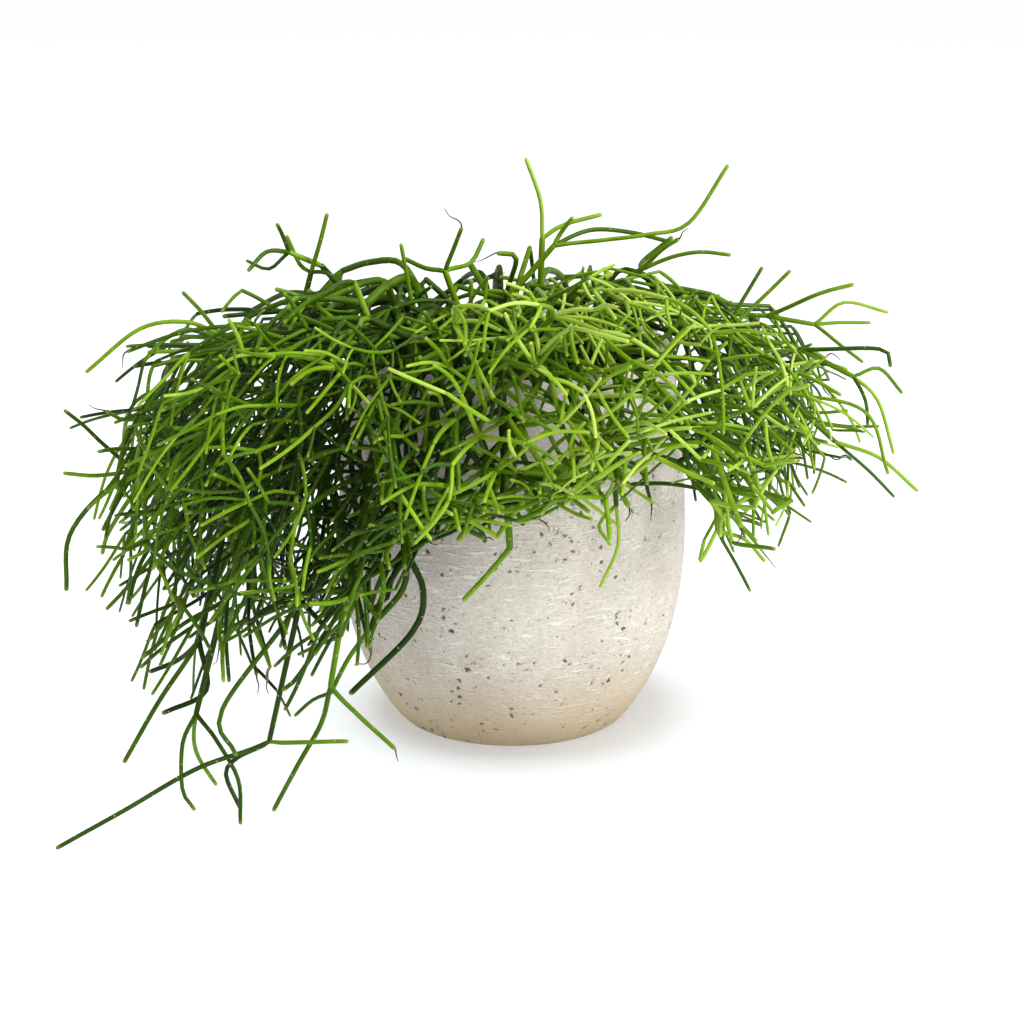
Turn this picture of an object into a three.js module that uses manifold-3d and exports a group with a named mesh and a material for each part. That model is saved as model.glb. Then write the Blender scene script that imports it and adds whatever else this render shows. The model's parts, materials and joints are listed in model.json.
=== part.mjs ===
// A mistletoe cactus (Rhipsalis) in a round cement pot: a thick-walled pot, the soil that fills it,
// and leafless green sprays that rise from the soil, arch over the rim and fork at every joint.
// Millimetres, +Z up. The origin is the centre of the pot's foot, and -Y is the front.
import * as THREE from "three";
import { mergeVertices } from "three/addons/utils/BufferGeometryUtils.js";
import Module from "manifold-3d";

const wasm = await Module();
wasm.setup();

const vec = (x, y, z) => new THREE.Vector3(x, y, z);
const turnOf = (degrees) => THREE.MathUtils.degToRad(degrees);
const up = vec(0, 0, 1);

// Driving dimensions of the pot and its soil.
const pot = {
  height: 190,
  belly: 86.5, // outer radius at its widest
  bellyHeight: 100,
  below: { reach: 128, power: 2.3 }, // the soft arcs of the side, below and above the belly
  above: { reach: 258, power: 1.6 },
  wall: 7,
  floor: 9,
  edge: 3, // rounding round the foot
  sides: 36,
};
const soilTop = 177;
const fit = 0.3; // clearance between pieces that touch
const hole = { depth: 13, radius: 2.85, sides: 5 }; // in the soil, one for each main stem

// Driving dimensions of the stems. A stem is a three-sided tube, and its corners stand out far
// enough to give it the width of a round stem of this radius.
const corner = 1.2;
const orders = [
  { radius: 1.6, spans: 2 }, // main stems
  { radius: 1.3, spans: 2 }, // branches
  { radius: 1.1, spans: 1 }, // twigs
];
const tipRise = 0.8; // height of the low pyramid on a joint, as a share of the stem's radius
const collar = 5; // how far a main stem rises straight above the soil
const rootLimit = 66; // how far from the axis it can rise
const rootSpacing = 7;
const rimPass = 70; // beyond this radius a lead has to pass the rim
const crest = { radius: 64, height: 205, along: 0.4, rise: 7 }; // where a stem passes the rim
const floorRest = 2.1; // lowest centreline of a stem that lies on the table
const air = 0.6; // least clearance between two stems
const joinLength = 7; // how far from a joint a stem may lie close to its own spray
const shortLeg = 24; // a led twig no longer than this is straight
const apart = 27; // least angle between two stems of a joint, in degrees
const leastFacing = 0.3; // how squarely a stem leaves through a face of its joint

// Marks on the centrelines keep the stems apart. A stem that isn't clear is tried again, elsewhere.
const markStep = 2;
const markCell = 6;
const attempts = { main: 60, route: 40, free: 26 };

// Where the foliage is seen from in the outline below: from the front, a little above its middle.
const view = { distance: 1400, pitch: turnOf(17), aim: 103 };

// The outline of the foliage from there: x, and height above the aim, in the plane of the axis.
const outline = [
  [-211, 76], [-181, 96], [-150, 112], [-124, 126], [-84, 122], [-60, 112], [-16, 116], [24, 136],
  [70, 140], [110, 125], [140, 111], [170, 103], [188, 88], [195, 60], [199, 18], [180, 12],
  [159, -4], [142, -18], [122, -29], [108, -22], [94, 0], [84, 18], [72, -8], [54, -20], [42, -8],
  [22, 2], [4, -8], [-16, -16], [-36, -10], [-48, -28], [-58, -52], [-70, -72], [-86, -104],
  [-106, -139], [-136, -154], [-161, -154], [-186, -119], [-196, -84], [-211, -44], [-221, -20],
  [-221, 50],
];

// Inside this line the foliage is full. Beyond it stems stand out one by one, each as far as it
// happens to reach: less at the top than at the sides, and most below, where the stems trail.
const full = [
  [-184, 21], [-178, 52], [-168, 76], [-150, 94], [-116, 103], [-91, 105], [-56, 100], [-31, 103],
  [-11, 101], [9, 106], [29, 111], [64, 113], [84, 109], [96, 102], [117, 93], [132, 82], [143, 66],
  [144, 48], [134, 28], [127, 12], [117, -1], [106, 0], [94, 15], [84, 38], [66, 37], [54, 23],
  [42, 14], [24, 11], [4, 5], [-13, -1], [-37, -4], [-48, -13], [-58, -24], [-73, -37], [-89, -50],
  [-106, -58], [-136, -55], [-157, -43], [-171, -28], [-180, -11], [-185, 4],
];
const standOut = { top: 5, side: 12, trail: 22 }; // mean distance beyond the line
const topFrom = 85; // heights above the aim that part the three
const trailFrom = -40;
const boldest = 4; // the farthest, in mean distances
const depthLimit = 180; // how far free stems reach to the front and to the back

// How the free stems of a spray grow: the lengths of branches and twigs, how far they spread from the
// heading of their joint in degrees, how much they sag, and how much they turn to the drift below.
const styles = {
  crown: { branch: [26, 44], twig: [16, 34], spread: [28, 70], sag: [-0.15, 0.3], drift: 0.1 },
  front: { branch: [24, 44], twig: [20, 38], spread: [25, 72], sag: [-0.1, 0.4], drift: 0.15 },
  left: { branch: [38, 62], twig: [26, 50], spread: [22, 56], sag: [-0.05, 0.35], drift: 0.32 },
  right: { branch: [28, 48], twig: [22, 42], spread: [22, 60], sag: [-0.1, 0.35], drift: 0.3 },
  back: { branch: [34, 56], twig: [24, 44], spread: [22, 58], sag: [0.0, 0.4], drift: 0.3 },
};

// Stems drift away from the heart of the plant, and this much down for each step out.
const heart = { height: 165, fall: 0.4 };
const forked = 0.85; // share of the twigs that fork once more
const sideSpread = [32, 70]; // of the stems that leave a joint along the way
const sideSwing = 24; // how far a free stem may turn away from the middle of its face

// The led sprays are those that stand out. Each rises from a root, its lead goes from joint to joint,
// and twigs follow their own points from its last joint.
const led = [
  {
    name: "tall_right", style: "crown", root: [14, 6],
    lead: [[-3, 4, 210], [20, 0, 238]],
    twigs: [
      [[43, -5, 242], [66, -10, 246], [85, -12, 252], [103, -10, 279]],
      [[38, 10, 244], [58, 20, 241], [79, 30, 234]],
      [[29, -6, 253]],
    ],
    early: [
      [[2, -20, 236], [-6, -26, 240]],
    ],
  },
  {
    name: "tall_back", style: "crown", root: [2, 30],
    lead: [[14, 30, 205], [15, 28, 236]],
    twigs: [
      [[14, 24, 256], [7, 20, 277]],
      [[26, 34, 242], [44, 44, 245]],
    ],
  },
  {
    name: "fork_left", style: "crown", root: [-18, -8],
    lead: [[-24, -18, 206], [-32, -25, 231]],
    twigs: [
      [[-28, -28, 242], [-24, -32, 253]],
      [[-41, -32, 234], [-51, -38, 240]],
      [[-20, -10, 232], [-14, -4, 242]],
    ],
  },
  {
    name: "needle_left", style: "crown", root: [-44, -14],
    lead: [[-44, -40, 196], [-47, -44, 220]],
    twigs: [
      [[-52, -46, 248]],
      [[-38, -60, 231]],
    ],
  },
  {
    name: "crown_left", style: "crown", root: [-46, 22],
    lead: [[-105, 16, 199], [-99, 14, 222]],
    twigs: [
      [[-94, 10, 238], [-90, 8, 252]],
      [[-104, 20, 229], [-107, 24, 235]],
      [[-91, 8, 223], [-83, 2, 218]],
    ],
  },
  {
    name: "sweep_left", style: "crown", root: [-34, 36],
    lead: [[-80, 30, 205], [-94, 20, 224], [-109, 10, 233]],
    twigs: [
      [[-114, 3, 248]],
      [[-120, 18, 223], [-131, 23, 226]],
      [[-119, -3, 236], [-127, -12, 229]],
    ],
  },
  {
    name: "arch_left", style: "left", root: [-58, 2],
    lead: [[-89, -6, 204], [-122, -10, 195], [-141, -14, 197]],
    twigs: [
      [[-157, -20, 205], [-179, -26, 203], [-204, -34, 184]],
      [[-152, -4, 207], [-161, 4, 214]],
      [[-155, -26, 193], [-174, -32, 193]],
    ],
  },
  {
    name: "far_left", style: "left", root: [-62, -12],
    lead: [[-102, -30, 196], [-150, -40, 171], [-181, -44, 138]],
    twigs: [
      [[-196, -41, 149], [-205, -45, 160], [-213, -48, 168]],
      [[-198, -55, 138], [-213, -58, 140]],
      [[-188, -60, 127], [-195, -64, 114]],
    ],
    early: [
      [[-184, -34, 160], [-195, -34, 164]],
    ],
  },
  {
    name: "bow_left", style: "left", root: [-61, -23],
    lead: [[-96, -50, 189], [-140, -66, 166], [-170, -72, 146]],
    twigs: [
      [[-191, -78, 137], [-208, -84, 117], [-210, -88, 92]],
      [[-190, -66, 119], [-198, -64, 106]],
      [[-176, -86, 128], [-182, -94, 110]],
    ],
  },
  {
    name: "trail_long", style: "left", root: [-36, -51],
    lead: [[-61, -78, 204], [-85, -116, 158], [-96, -136, 103], [-111, -146, 38]],
    twigs: [
      [[-141, -160, 29], [-172, -174, 15], [-203, -186, 3]],
      [[-94, -152, 39], [-75, -156, 42]],
      [[-126, -138, 27], [-132, -134, 17], [-126, -140, 3]],
    ],
    early: [
      [[-120, -160, 53], [-128, -172, 50]],
    ],
  },
  {
    name: "trail_mid", style: "left", root: [-45, -43],
    lead: [[-71, -66, 201], [-111, -104, 155], [-132, -122, 98], [-146, -128, 45]],
    twigs: [
      [[-153, -132, 31], [-153, -138, 11], [-147, -142, 3]],
      [[-146, -118, 23], [-140, -112, 3]],
      [[-135, -140, 37], [-124, -150, 21], [-124, -158, 3]],
    ],
  },
  {
    name: "trail_out", style: "left", root: [-54, -34],
    lead: [[-86, -60, 196], [-129, -84, 144], [-147, -98, 70]],
    twigs: [
      [[-166, -104, 42], [-183, -108, 13]],
      [[-143, -112, 50], [-162, -120, 42]],
      [[-159, -84, 55], [-173, -78, 47]],
    ],
  },
  {
    name: "trail_near", style: "left", root: [-26, -58],
    lead: [[-51, -92, 202], [-63, -122, 160], [-76, -134, 102], [-83, -138, 62]],
    twigs: [
      [[-86, -142, 44], [-97, -148, 25], [-109, -152, 7]],
      [[-71, -130, 43], [-55, -124, 26]],
    ],
    early: [
      [[-91, -150, 75], [-102, -160, 68]],
    ],
  },
  {
    name: "hook_front", style: "front", root: [-13, -62],
    lead: [[-33, -98, 196], [-42, -112, 157], [-48, -116, 119]],
    twigs: [
      [[-41, -116, 101], [-46, -114, 80], [-75, -112, 49]],
      [[-58, -122, 103], [-65, -124, 85]],
      [[-54, -118, 97], [-60, -118, 85]],
    ],
  },
  {
    name: "elbow_front", style: "front", root: [2, -63],
    lead: [[-5, -100, 192], [-3, -108, 156], [-1, -108, 119]],
    twigs: [
      [[-10, -110, 108], [-22, -112, 95]],
    ],
    early: [
      [[-16, -122, 138], [-24, -124, 128]],
    ],
  },
  {
    name: "drop_right", style: "front", root: [24, -56],
    lead: [[36, -94, 190], [46, -104, 164], [48, -106, 139]],
    twigs: [
      [[49, -106, 119], [41, -108, 100]],
      [[40, -112, 131], [45, -116, 123]],
    ],
    early: [
      [[59, -100, 154], [64, -98, 139]],
    ],
  },
  {
    name: "reach_right", style: "right", root: [52, -13],
    lead: [[90, -40, 198], [127, -52, 179], [153, -58, 156]],
    twigs: [
      [[174, -62, 149], [192, -66, 134]],
      [[171, -50, 139], [184, -46, 125]],
    ],
    early: [
      [[161, -70, 167], [177, -76, 149]],
    ],
  },
  {
    name: "fan_right", style: "right", root: [56, 4],
    lead: [[101, -10, 199], [140, -18, 191], [165, -24, 179]],
    twigs: [
      [[177, -28, 168], [185, -32, 143]],
      [[178, -20, 182], [190, -16, 169]],
      [[170, -36, 170], [171, -40, 159]],
    ],
    early: [
      [[176, -34, 195], [181, -38, 188]],
    ],
  },
  {
    name: "wing_right", style: "right", root: [48, 22],
    lead: [[89, 22, 201], [126, 19, 199], [150, 18, 195]],
    twigs: [
      [[164, 14, 207], [185, 10, 203]],
      [[163, 26, 194], [179, 30, 193]],
      [[163, 10, 186], [173, 6, 179]],
    ],
    early: [
      [[150, 2, 214], [166, 0, 219]],
    ],
  },
  {
    name: "horn_right", style: "right", root: [40, -4],
    lead: [[87, -10, 199], [105, -14, 202]],
    twigs: [
      [[112, -16, 216], [120, -18, 231]],
      [[121, -6, 213], [135, -2, 226]],
      [[113, -28, 200], [121, -34, 197]],
    ],
  },
  {
    name: "hang_right", style: "right", root: [46, -38],
    lead: [[79, -62, 192], [94, -72, 160], [97, -74, 117]],
    twigs: [
      [[106, -76, 101], [113, -78, 88]],
      [[111, -64, 109], [121, -60, 97]],
      [[89, -82, 104], [90, -90, 117]],
    ],
  },
  {
    name: "curl_top", style: "crown", root: [30, 16],
    lead: [[43, 14, 208], [63, 10, 224]],
    twigs: [
      [[78, 8, 231], [92, 6, 234], [106, 4, 233]],
      [[73, -2, 237], [80, -8, 243]],
      [[68, 22, 229], [75, 28, 239]],
    ],
  },
];

// Free sprays fill in round the led ones, zone by zone. Headings are degrees from +X, and -90 is the
// front. Each main stem starts in a band of the soil, has its first joint just past the rim at one
// height, and its last at a reach and an end height. A far reach has one more joint between.
const zones = [
  {
    style: "crown", count: 9, heading: [-170, 190],
    root: [6, 46], reach: [24, 68], first: [206, 216], end: [212, 228],
  },
  {
    style: "front", count: 9, heading: [-140, -42],
    root: [30, 66], reach: [98, 118], first: [201, 212], end: [160, 196],
  },
  {
    style: "left", count: 8, heading: [148, 226],
    root: [34, 66], reach: [112, 160], first: [200, 214], end: [100, 185],
  },
  {
    style: "right", count: 5, heading: [-38, 34],
    root: [30, 66], reach: [104, 140], first: [201, 214], end: [150, 198],
  },
  {
    style: "back", count: 5, heading: [42, 140],
    root: [30, 66], reach: [98, 132], first: [201, 212], end: [110, 190],
  },
];
const firstJoint = 84; // radius of the first joint of a spray that passes the rim
const farReach = 110;

// Repeatable random numbers between two limits.
function seeded(seed) {
  let state = seed;
  return (low = 0, high = 1) => {
    state = (state * 16807) % 2147483647;
    return low + ((high - low) * state) / 2147483647;
  };
}
const draw = seeded(303);

// Outer radius of the pot at a height: two soft arcs that meet at the belly.
function potRadius(z) {
  const below = Math.max(0, pot.bellyHeight - z) / pot.below.reach;
  const above = Math.max(0, z - pot.bellyHeight) / pot.above.reach;
  return pot.belly * Math.sqrt(1 - below ** pot.below.power - above ** pot.above.power);
}

// Whether a round of this radius at a point is clear of the pot, the soil and the table.
function clearOfPot(p, radius) {
  const room = radius + air;
  if (p.z < floorRest) return false;
  if (p.z > pot.height + room) return true;
  const out = Math.hypot(p.x, p.y);
  const wall = potRadius(Math.min(p.z, pot.height));
  if (out > wall + room) return true;
  return out < wall - pot.wall - room && p.z > soilTop + room;
}

// Where a point is seen from the front.
function seen(p) {
  const rise = p.z - view.aim;
  const depth = view.distance + p.y * Math.cos(view.pitch) - rise * Math.sin(view.pitch);
  const across = (p.x * view.distance) / depth;
  return [across, ((p.y * Math.sin(view.pitch) + rise * Math.cos(view.pitch)) * view.distance) / depth];
}

// Whether a place lies inside a closed line.
function isInside(line, [x, y]) {
  let inside = false;
  line.forEach(([x1, y1], i) => {
    const [x2, y2] = line[(i + 1) % line.length];
    if (y1 > y !== y2 > y && x < x1 + ((x2 - x1) * (y - y1)) / (y2 - y1)) inside = !inside;
  });
  return inside;
}

// How far a place lies beyond the full foliage, in mean distances that stems stand out there.
function beyond([x, y]) {
  if (isInside(full, [x, y])) return 0;
  const gaps = full.map(([x1, y1], i) => {
    const [x2, y2] = full[(i + 1) % full.length];
    const [dx, dy] = [x2 - x1, y2 - y1];
    const share = THREE.MathUtils.clamp(((x - x1) * dx + (y - y1) * dy) / (dx * dx + dy * dy), 0, 1);
    return Math.hypot(x1 + dx * share - x, y1 + dy * share - y);
  });
  const mean = y > topFrom ? standOut.top : y < trailFrom ? standOut.trail : standOut.side;
  return Math.min(...gaps) / mean;
}

// The way that stems drift at a point.
function driftAt(p) {
  const away = vec(p.x, p.y, p.z - heart.height).normalize();
  return away.addScaledVector(up, -heart.fall).normalize();
}

// Marks stand along every stem, and are kept by cell, so that a new stem can keep clear of them.
const marks = new Map();
const cellOf = (v) => Math.floor(v / markCell);
const keyOf = (x, y, z) => `${x},${y},${z}`;

function markPoints(points) {
  const found = [points[0]];
  for (let i = 1; i < points.length; i++) {
    const count = Math.ceil(points[i].distanceTo(points[i - 1]) / markStep);
    for (let k = 1; k <= count; k++) found.push(points[i - 1].clone().lerp(points[i], k / count));
  }
  return found;
}

function leaveMarks(points, radius) {
  const ends = [points[0], points.at(-1)];
  for (const at of markPoints(points)) {
    const key = keyOf(cellOf(at.x), cellOf(at.y), cellOf(at.z));
    if (!marks.has(key)) marks.set(key, []);
    marks.get(key).push({ at, radius, ends });
  }
}

function marksNear(p) {
  const found = [];
  for (let x = cellOf(p.x) - 1; x <= cellOf(p.x) + 1; x++) {
    for (let y = cellOf(p.y) - 1; y <= cellOf(p.y) + 1; y++) {
      for (let z = cellOf(p.z) - 1; z <= cellOf(p.z) + 1; z++) {
        found.push(...(marks.get(keyOf(x, y, z)) ?? []));
      }
    }
  }
  return found;
}

// A stem keeps off the pot and every other stem, but near its start it may lie by those it joins.
function isClear(points, radius, near) {
  const [start] = points;
  return markPoints(points).every((p) => {
    const away = p.distanceTo(start) > near;
    if (away && !clearOfPot(p, radius)) return false;
    return marksNear(p).every((mark) => {
      if (mark.at.distanceTo(p) > radius + mark.radius + air) return true;
      return !away && mark.ends.includes(start);
    });
  });
}

// Points that pass smoothly through a route, with this many spans between its points.
function smooth(route, spans) {
  const found = [route[0]];
  for (let i = 0; i < route.length - 1; i++) {
    const leave = route[i + 1].clone().sub(route[Math.max(i - 1, 0)]).multiplyScalar(0.5);
    const arrive = route[Math.min(i + 2, route.length - 1)].clone().sub(route[i]).multiplyScalar(0.5);
    for (let k = 1; k <= spans; k++) {
      const t = k / spans;
      const point = route[i].clone().multiplyScalar(2 * t ** 3 - 3 * t ** 2 + 1);
      point.addScaledVector(leave, t ** 3 - 2 * t ** 2 + t);
      point.addScaledVector(route[i + 1], 3 * t ** 2 - 2 * t ** 3);
      point.addScaledVector(arrive, t ** 3 - t ** 2);
      found.push(point);
    }
  }
  return found;
}

// A free stem leaves its start along a direction, and sags or lifts over its length.
function bowed(start, direction, length, sag, spans) {
  const found = [start];
  for (let k = 1; k <= spans; k++) {
    const t = k / spans;
    const point = start.clone().addScaledVector(direction, length * t);
    found.push(point.addScaledVector(up, -sag * length * t * t));
  }
  return found;
}

// Three corners round a centre, across the way ahead, that follow on from the three before them.
function ringAfter(before, center, ahead, radius, twist) {
  const middle = vec(0, 0, 0);
  for (const point of before) middle.addScaledVector(point, 1 / 3);
  const first = vec(0, 0, 0);
  before.forEach((point, i) => {
    const arm = point.clone().sub(middle);
    arm.addScaledVector(ahead, -arm.dot(ahead));
    first.add(arm.applyAxisAngle(ahead, turnOf(-120 * i)));
  });
  first.setLength(radius).applyAxisAngle(ahead, twist);
  return [0, 120, 240].map((side) => first.clone().applyAxisAngle(ahead, turnOf(side)).add(center));
}

// A ring at each point of a stem, from three corners at its start, with an even twist along it.
function ringsAlong(points, radius, corners, twist) {
  const last = points.length - 1;
  const rings = [corners];
  for (let i = 1; i <= last; i++) {
    const ahead = points[Math.min(i + 1, last)].clone().sub(points[i - 1]).normalize();
    rings.push(ringAfter(rings[i - 1], points[i], ahead, radius, twist / last));
  }
  return rings;
}

// How well the three sides of a ring face the stems that are to leave it.
function fitOf([a, b, c], aims) {
  const sides = [[a, b], [b, c], [c, a]].map(([p, q]) => p.clone().add(q));
  const middle = a.clone().add(b).add(c).multiplyScalar(2 / 3);
  const faced = (side, aim) => sides[side].clone().sub(middle).dot(aim);
  const fits = (order) => aims.reduce((sum, aim, i) => sum + faced(order[i], aim), 0);
  return Math.max(...[[0, 1, 2], [0, 2, 1], [1, 0, 2], [1, 2, 0], [2, 0, 1], [2, 1, 0]].map(fits));
}

// Adds a stem to a spray, grown from three corners: a ring at each point, and at the end a joint. A
// joint is a low pyramid on the last ring, and further stems can grow from its three faces. The
// stem twists a little if that turns the faces towards the places that its led twigs aim for.
function addStem(spray, points, order, corners, goals = []) {
  const radius = orders[order].radius * corner;
  const last = points.length - 1;
  const aims = goals.map((goal) => goal.clone().sub(points[last]).normalize());
  const choices = aims.length > 0 ? [0, 15, -15, 30, -30, 45, -45, 60] : [0];
  const tried = choices.map((twist) => ringsAlong(points, radius, corners, turnOf(twist)));
  const score = (rings) => fitOf(rings[last], aims);
  const rings = tried.reduce((best, other) => (score(other) > score(best) ? other : best));
  const heading = points[last].clone().sub(points[last - 1]).normalize();
  const tip = points[last].clone().addScaledVector(heading, tipRise * radius);
  const [a, b, c] = rings[last];
  const faces = [[a, b, tip], [b, c, tip], [c, a, tip]];
  const stem = { rings, heading, faces, end: points[last], used: new Set(), ways: [] };
  spray.stems.push(stem);
  leaveMarks(points, radius);
  return stem;
}

// The way that a face of a joint looks, across the stem.
function sideOf(joint, face) {
  const [a, b] = joint.faces[face];
  return a.clone().add(b).multiplyScalar(0.5).sub(joint.end).normalize();
}

// A face of a joint is open to a stem if the stem leaves through its outside, apart from the others.
function isOpen(joint, face, way) {
  if (joint.used.has(face)) return false;
  const [a, b, tip] = joint.faces[face];
  const outside = b.clone().sub(a).cross(tip.clone().sub(a)).normalize();
  if (outside.dot(way) <= leastFacing) return false;
  return joint.ways.every((other) => other.angleTo(way) > turnOf(apart));
}

// Grows a stem from a face of a joint.
function growFrom(spray, joint, face, points, order, goals) {
  joint.used.add(face);
  joint.ways.push(points[1].clone().sub(points[0]).normalize());
  return addStem(spray, points, order, joint.faces[face], goals);
}

// Moves each point of a route a little, and more with each try.
function shifted(route, tries) {
  const shift = () => draw(-0.35, 0.35) * tries;
  return route.map((p) => vec(p.x + shift(), p.y + shift(), Math.max(p.z + shift(), floorRest)));
}

// A main stem stands in the soil, rises straight through it, and then follows its lead to its first
// joint, over a crest if it has to pass the rim. It is bent and moved until it is clear.
const roots = [];
function growMain(spray, root, first, goals) {
  const radius = orders[0].radius * corner;
  for (let tries = 0; tries < attempts.main; tries++) {
    const [foot, goal] = shifted([root.clone().setZ(soilTop - hole.depth), first], tries);
    foot.z = soilTop - hole.depth;
    if (Math.hypot(foot.x, foot.y) > rootLimit) continue;
    if (roots.some((other) => other.distanceTo(foot) < rootSpacing)) continue;
    const top = foot.clone().setZ(soilTop + collar);
    const lead = [top, goal];
    if (Math.hypot(goal.x, goal.y) > rimPass) {
      const over = top.clone().lerp(goal, crest.along);
      const inward = Math.min(crest.radius / Math.hypot(over.x, over.y), 1);
      const height = Math.max(goal.z + crest.rise, crest.height);
      lead.splice(1, 0, vec(over.x * inward, over.y * inward, height));
    }
    const points = [foot, ...smooth(lead, orders[0].spans)];
    if (!isClear(points, radius, hole.depth + collar)) continue;
    roots.push(foot);
    const arm = vec(radius, 0, 0);
    const corners = [0, 120, 240].map((side) => {
      return arm.clone().applyAxisAngle(up, turnOf(side)).add(foot);
    });
    return addStem(spray, points, 0, corners, goals);
  }
  return undefined;
}

// A stem that follows a route from a joint. It is bent and moved until it is clear.
function growRoute(spray, joint, route, order, spans, goals) {
  for (let tries = 0; tries < attempts.route; tries++) {
    const points = smooth([joint.end, ...shifted(route, tries)], spans);
    const way = points[1].clone().sub(points[0]).normalize();
    const open = [0, 1, 2].filter((face) => isOpen(joint, face, way));
    if (open.length === 0 || !isClear(points, orders[order].radius * corner, joinLength)) continue;
    const fits = (face) => sideOf(joint, face).dot(way);
    const face = open.reduce((best, other) => (fits(other) > fits(best) ? other : best));
    return growFrom(spray, joint, face, points, order, goals);
  }
  return undefined;
}

// Free stems spring from the open faces of a joint. Each is drawn again until it is clear.
function growWhorl(spray, joint, count, order, spread) {
  const { style } = spray;
  const { radius, spans } = orders[order];
  const grown = [];
  const first = Math.floor(draw(0, 3));
  for (let i = 0; i < 3 && grown.length < count; i++) {
    const face = (first + i) % 3;
    const boldness = Math.min(-Math.log(draw()), boldest);
    for (let tries = 0; tries < attempts.free && !joint.used.has(face); tries++) {
      const tilt = turnOf(draw(...spread) * (1 + tries * 0.02));
      const swing = turnOf(draw(-sideSwing, sideSwing));
      const side = sideOf(joint, face).applyAxisAngle(joint.heading, swing);
      const direction = joint.heading.clone().multiplyScalar(Math.cos(tilt));
      direction.addScaledVector(side, Math.sin(tilt)).lerp(driftAt(joint.end), style.drift).normalize();
      const length = draw(...(order === 1 ? style.branch : style.twig)) * (1 - tries * 0.015);
      const points = bowed(joint.end, direction, length, draw(...style.sag), spans);
      const way = points[1].clone().sub(points[0]).normalize();
      if (!isOpen(joint, face, way)) continue;
      const [middle, end] = [seen(points[1]), seen(points.at(-1))];
      if (!isInside(outline, middle) || !isInside(outline, end) || beyond(end) > boldness) continue;
      if (Math.abs(points.at(-1).y) > depthLimit) continue;
      if (!isClear(points, radius * corner, joinLength)) continue;
      grown.push(growFrom(spray, joint, face, points, order));
    }
  }
  return grown;
}

// The main stem goes on from joint to joint along its lead. Each joint faces the stems to come.
function growLegs(spray, lead) {
  lead.forEach((point, i) => {
    const next = growRoute(spray, spray.joints.at(-1), [point], 0, orders[0].spans, spray.goals(i + 1));
    if (next) spray.joints.push(next);
  });
}

// All main stems grow before any fork does. The led ones come first, then the free ones.
const sprays = [];
for (const { name, style, root, lead, twigs, early = [] } of led) {
  const spray = { name, style: styles[style], stems: [], twigs, early };
  const points = lead.map((p) => vec(...p));
  const ends = { [lead.length - 1]: twigs, [lead.length - 2]: [...early, [lead.at(-1)]] };
  spray.goals = (i) => (ends[i] ?? []).map(([first]) => vec(...first));
  const main = growMain(spray, vec(...root, 0), points[0], spray.goals(0));
  spray.joints = [main];
  spray.lead = points.slice(1);
  sprays.push(spray);
}
for (const spray of sprays) growLegs(spray, spray.lead);

const around = (out, angle, z) => vec(Math.cos(angle) * out, Math.sin(angle) * out, z);

function growFree(zone, index) {
  const { style } = zone;
  const spray = { name: `${style}_${index + 1}`, style: styles[style], stems: [], twigs: [], early: [] };
  spray.goals = () => [];
  const [from, to] = zone.heading.map(turnOf);
  let main;
  let lead;
  while (!main) {
    const heading = from + ((to - from) * (index + draw(0.1, 0.9))) / zone.count;
    const [reach, height, end] = [draw(...zone.reach), draw(...zone.first), draw(...zone.end)];
    const out = reach < rimPass ? reach * 0.6 : firstJoint;
    const root = around(draw(...zone.root), heading + draw(-0.6, 0.6), 0);
    main = growMain(spray, root, around(out, heading + draw(-0.1, 0.1), height));
    lead = [around(reach, heading, end)];
    const between = around(out + (reach - out) * 0.55, heading, height + (end - height) * 0.38);
    if (reach > farReach) lead.unshift(between);
  }
  spray.joints = [main];
  growLegs(spray, lead);
  sprays.push(spray);
}
for (const zone of zones) {
  for (let i = 0; i < zone.count; i++) growFree(zone, i);
}

// Then come the led twigs, the branches at every joint, and the twigs at the ends of branches.
function growLed(spray, joint, route) {
  const points = route.map((p) => vec(...p));
  const long = route.length === 1 && joint.end.distanceTo(points[0]) > shortLeg;
  growRoute(spray, joint, points, 1, long ? 2 : 1);
}
for (const spray of sprays) {
  for (const route of spray.twigs) growLed(spray, spray.joints.at(-1), route);
  for (const route of spray.early) growLed(spray, spray.joints.at(-2), route);
}
for (const spray of sprays) {
  spray.branches = [];
  for (const joint of spray.joints.slice(0, -1)) {
    spray.branches.push(...growWhorl(spray, joint, 1, 1, sideSpread));
    growWhorl(spray, joint, 1, 2, sideSpread);
  }
  if (spray.twigs.length > 0) continue;
  spray.branches.push(...growWhorl(spray, spray.joints.at(-1), 3, 1, spray.style.spread));
}
for (const spray of sprays) {
  spray.ends = spray.branches.flatMap((branch) => growWhorl(spray, branch, 3, 2, spray.style.spread));
}
for (const spray of sprays) {
  for (const twig of spray.ends) {
    if (draw() < forked) growWhorl(spray, twig, 2, 2, spray.style.spread);
  }
}

// The skin of a spray: the sides of every stem, its foot, and each end or open face of a joint.
function sprayGeometry(spray) {
  const triangles = [[...spray.stems[0].rings[0]].reverse()];
  for (const { rings, faces, used } of spray.stems) {
    for (let i = 1; i < rings.length; i++) {
      const [low, high] = [rings[i - 1], rings[i]];
      for (let k = 0; k < 3; k++) {
        const next = (k + 1) % 3;
        triangles.push([low[k], low[next], high[next]], [low[k], high[next], high[k]]);
      }
    }
    if (used.size === 0) triangles.push(rings.at(-1));
    else triangles.push(...faces.filter((_, i) => !used.has(i)));
  }
  const geometry = new THREE.BufferGeometry().setFromPoints(triangles.flat());
  return mergeVertices(geometry, 1e-5);
}

// A closed solid from a geometry, and a geometry from a solid.
function solidOf(geometry) {
  geometry.deleteAttribute("normal");
  geometry.deleteAttribute("uv");
  const merged = mergeVertices(geometry);
  const vertProperties = new Float32Array(merged.attributes.position.array);
  const triVerts = new Uint32Array(merged.index.array);
  return new wasm.Manifold(new wasm.Mesh({ numProp: 3, vertProperties, triVerts }));
}

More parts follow.
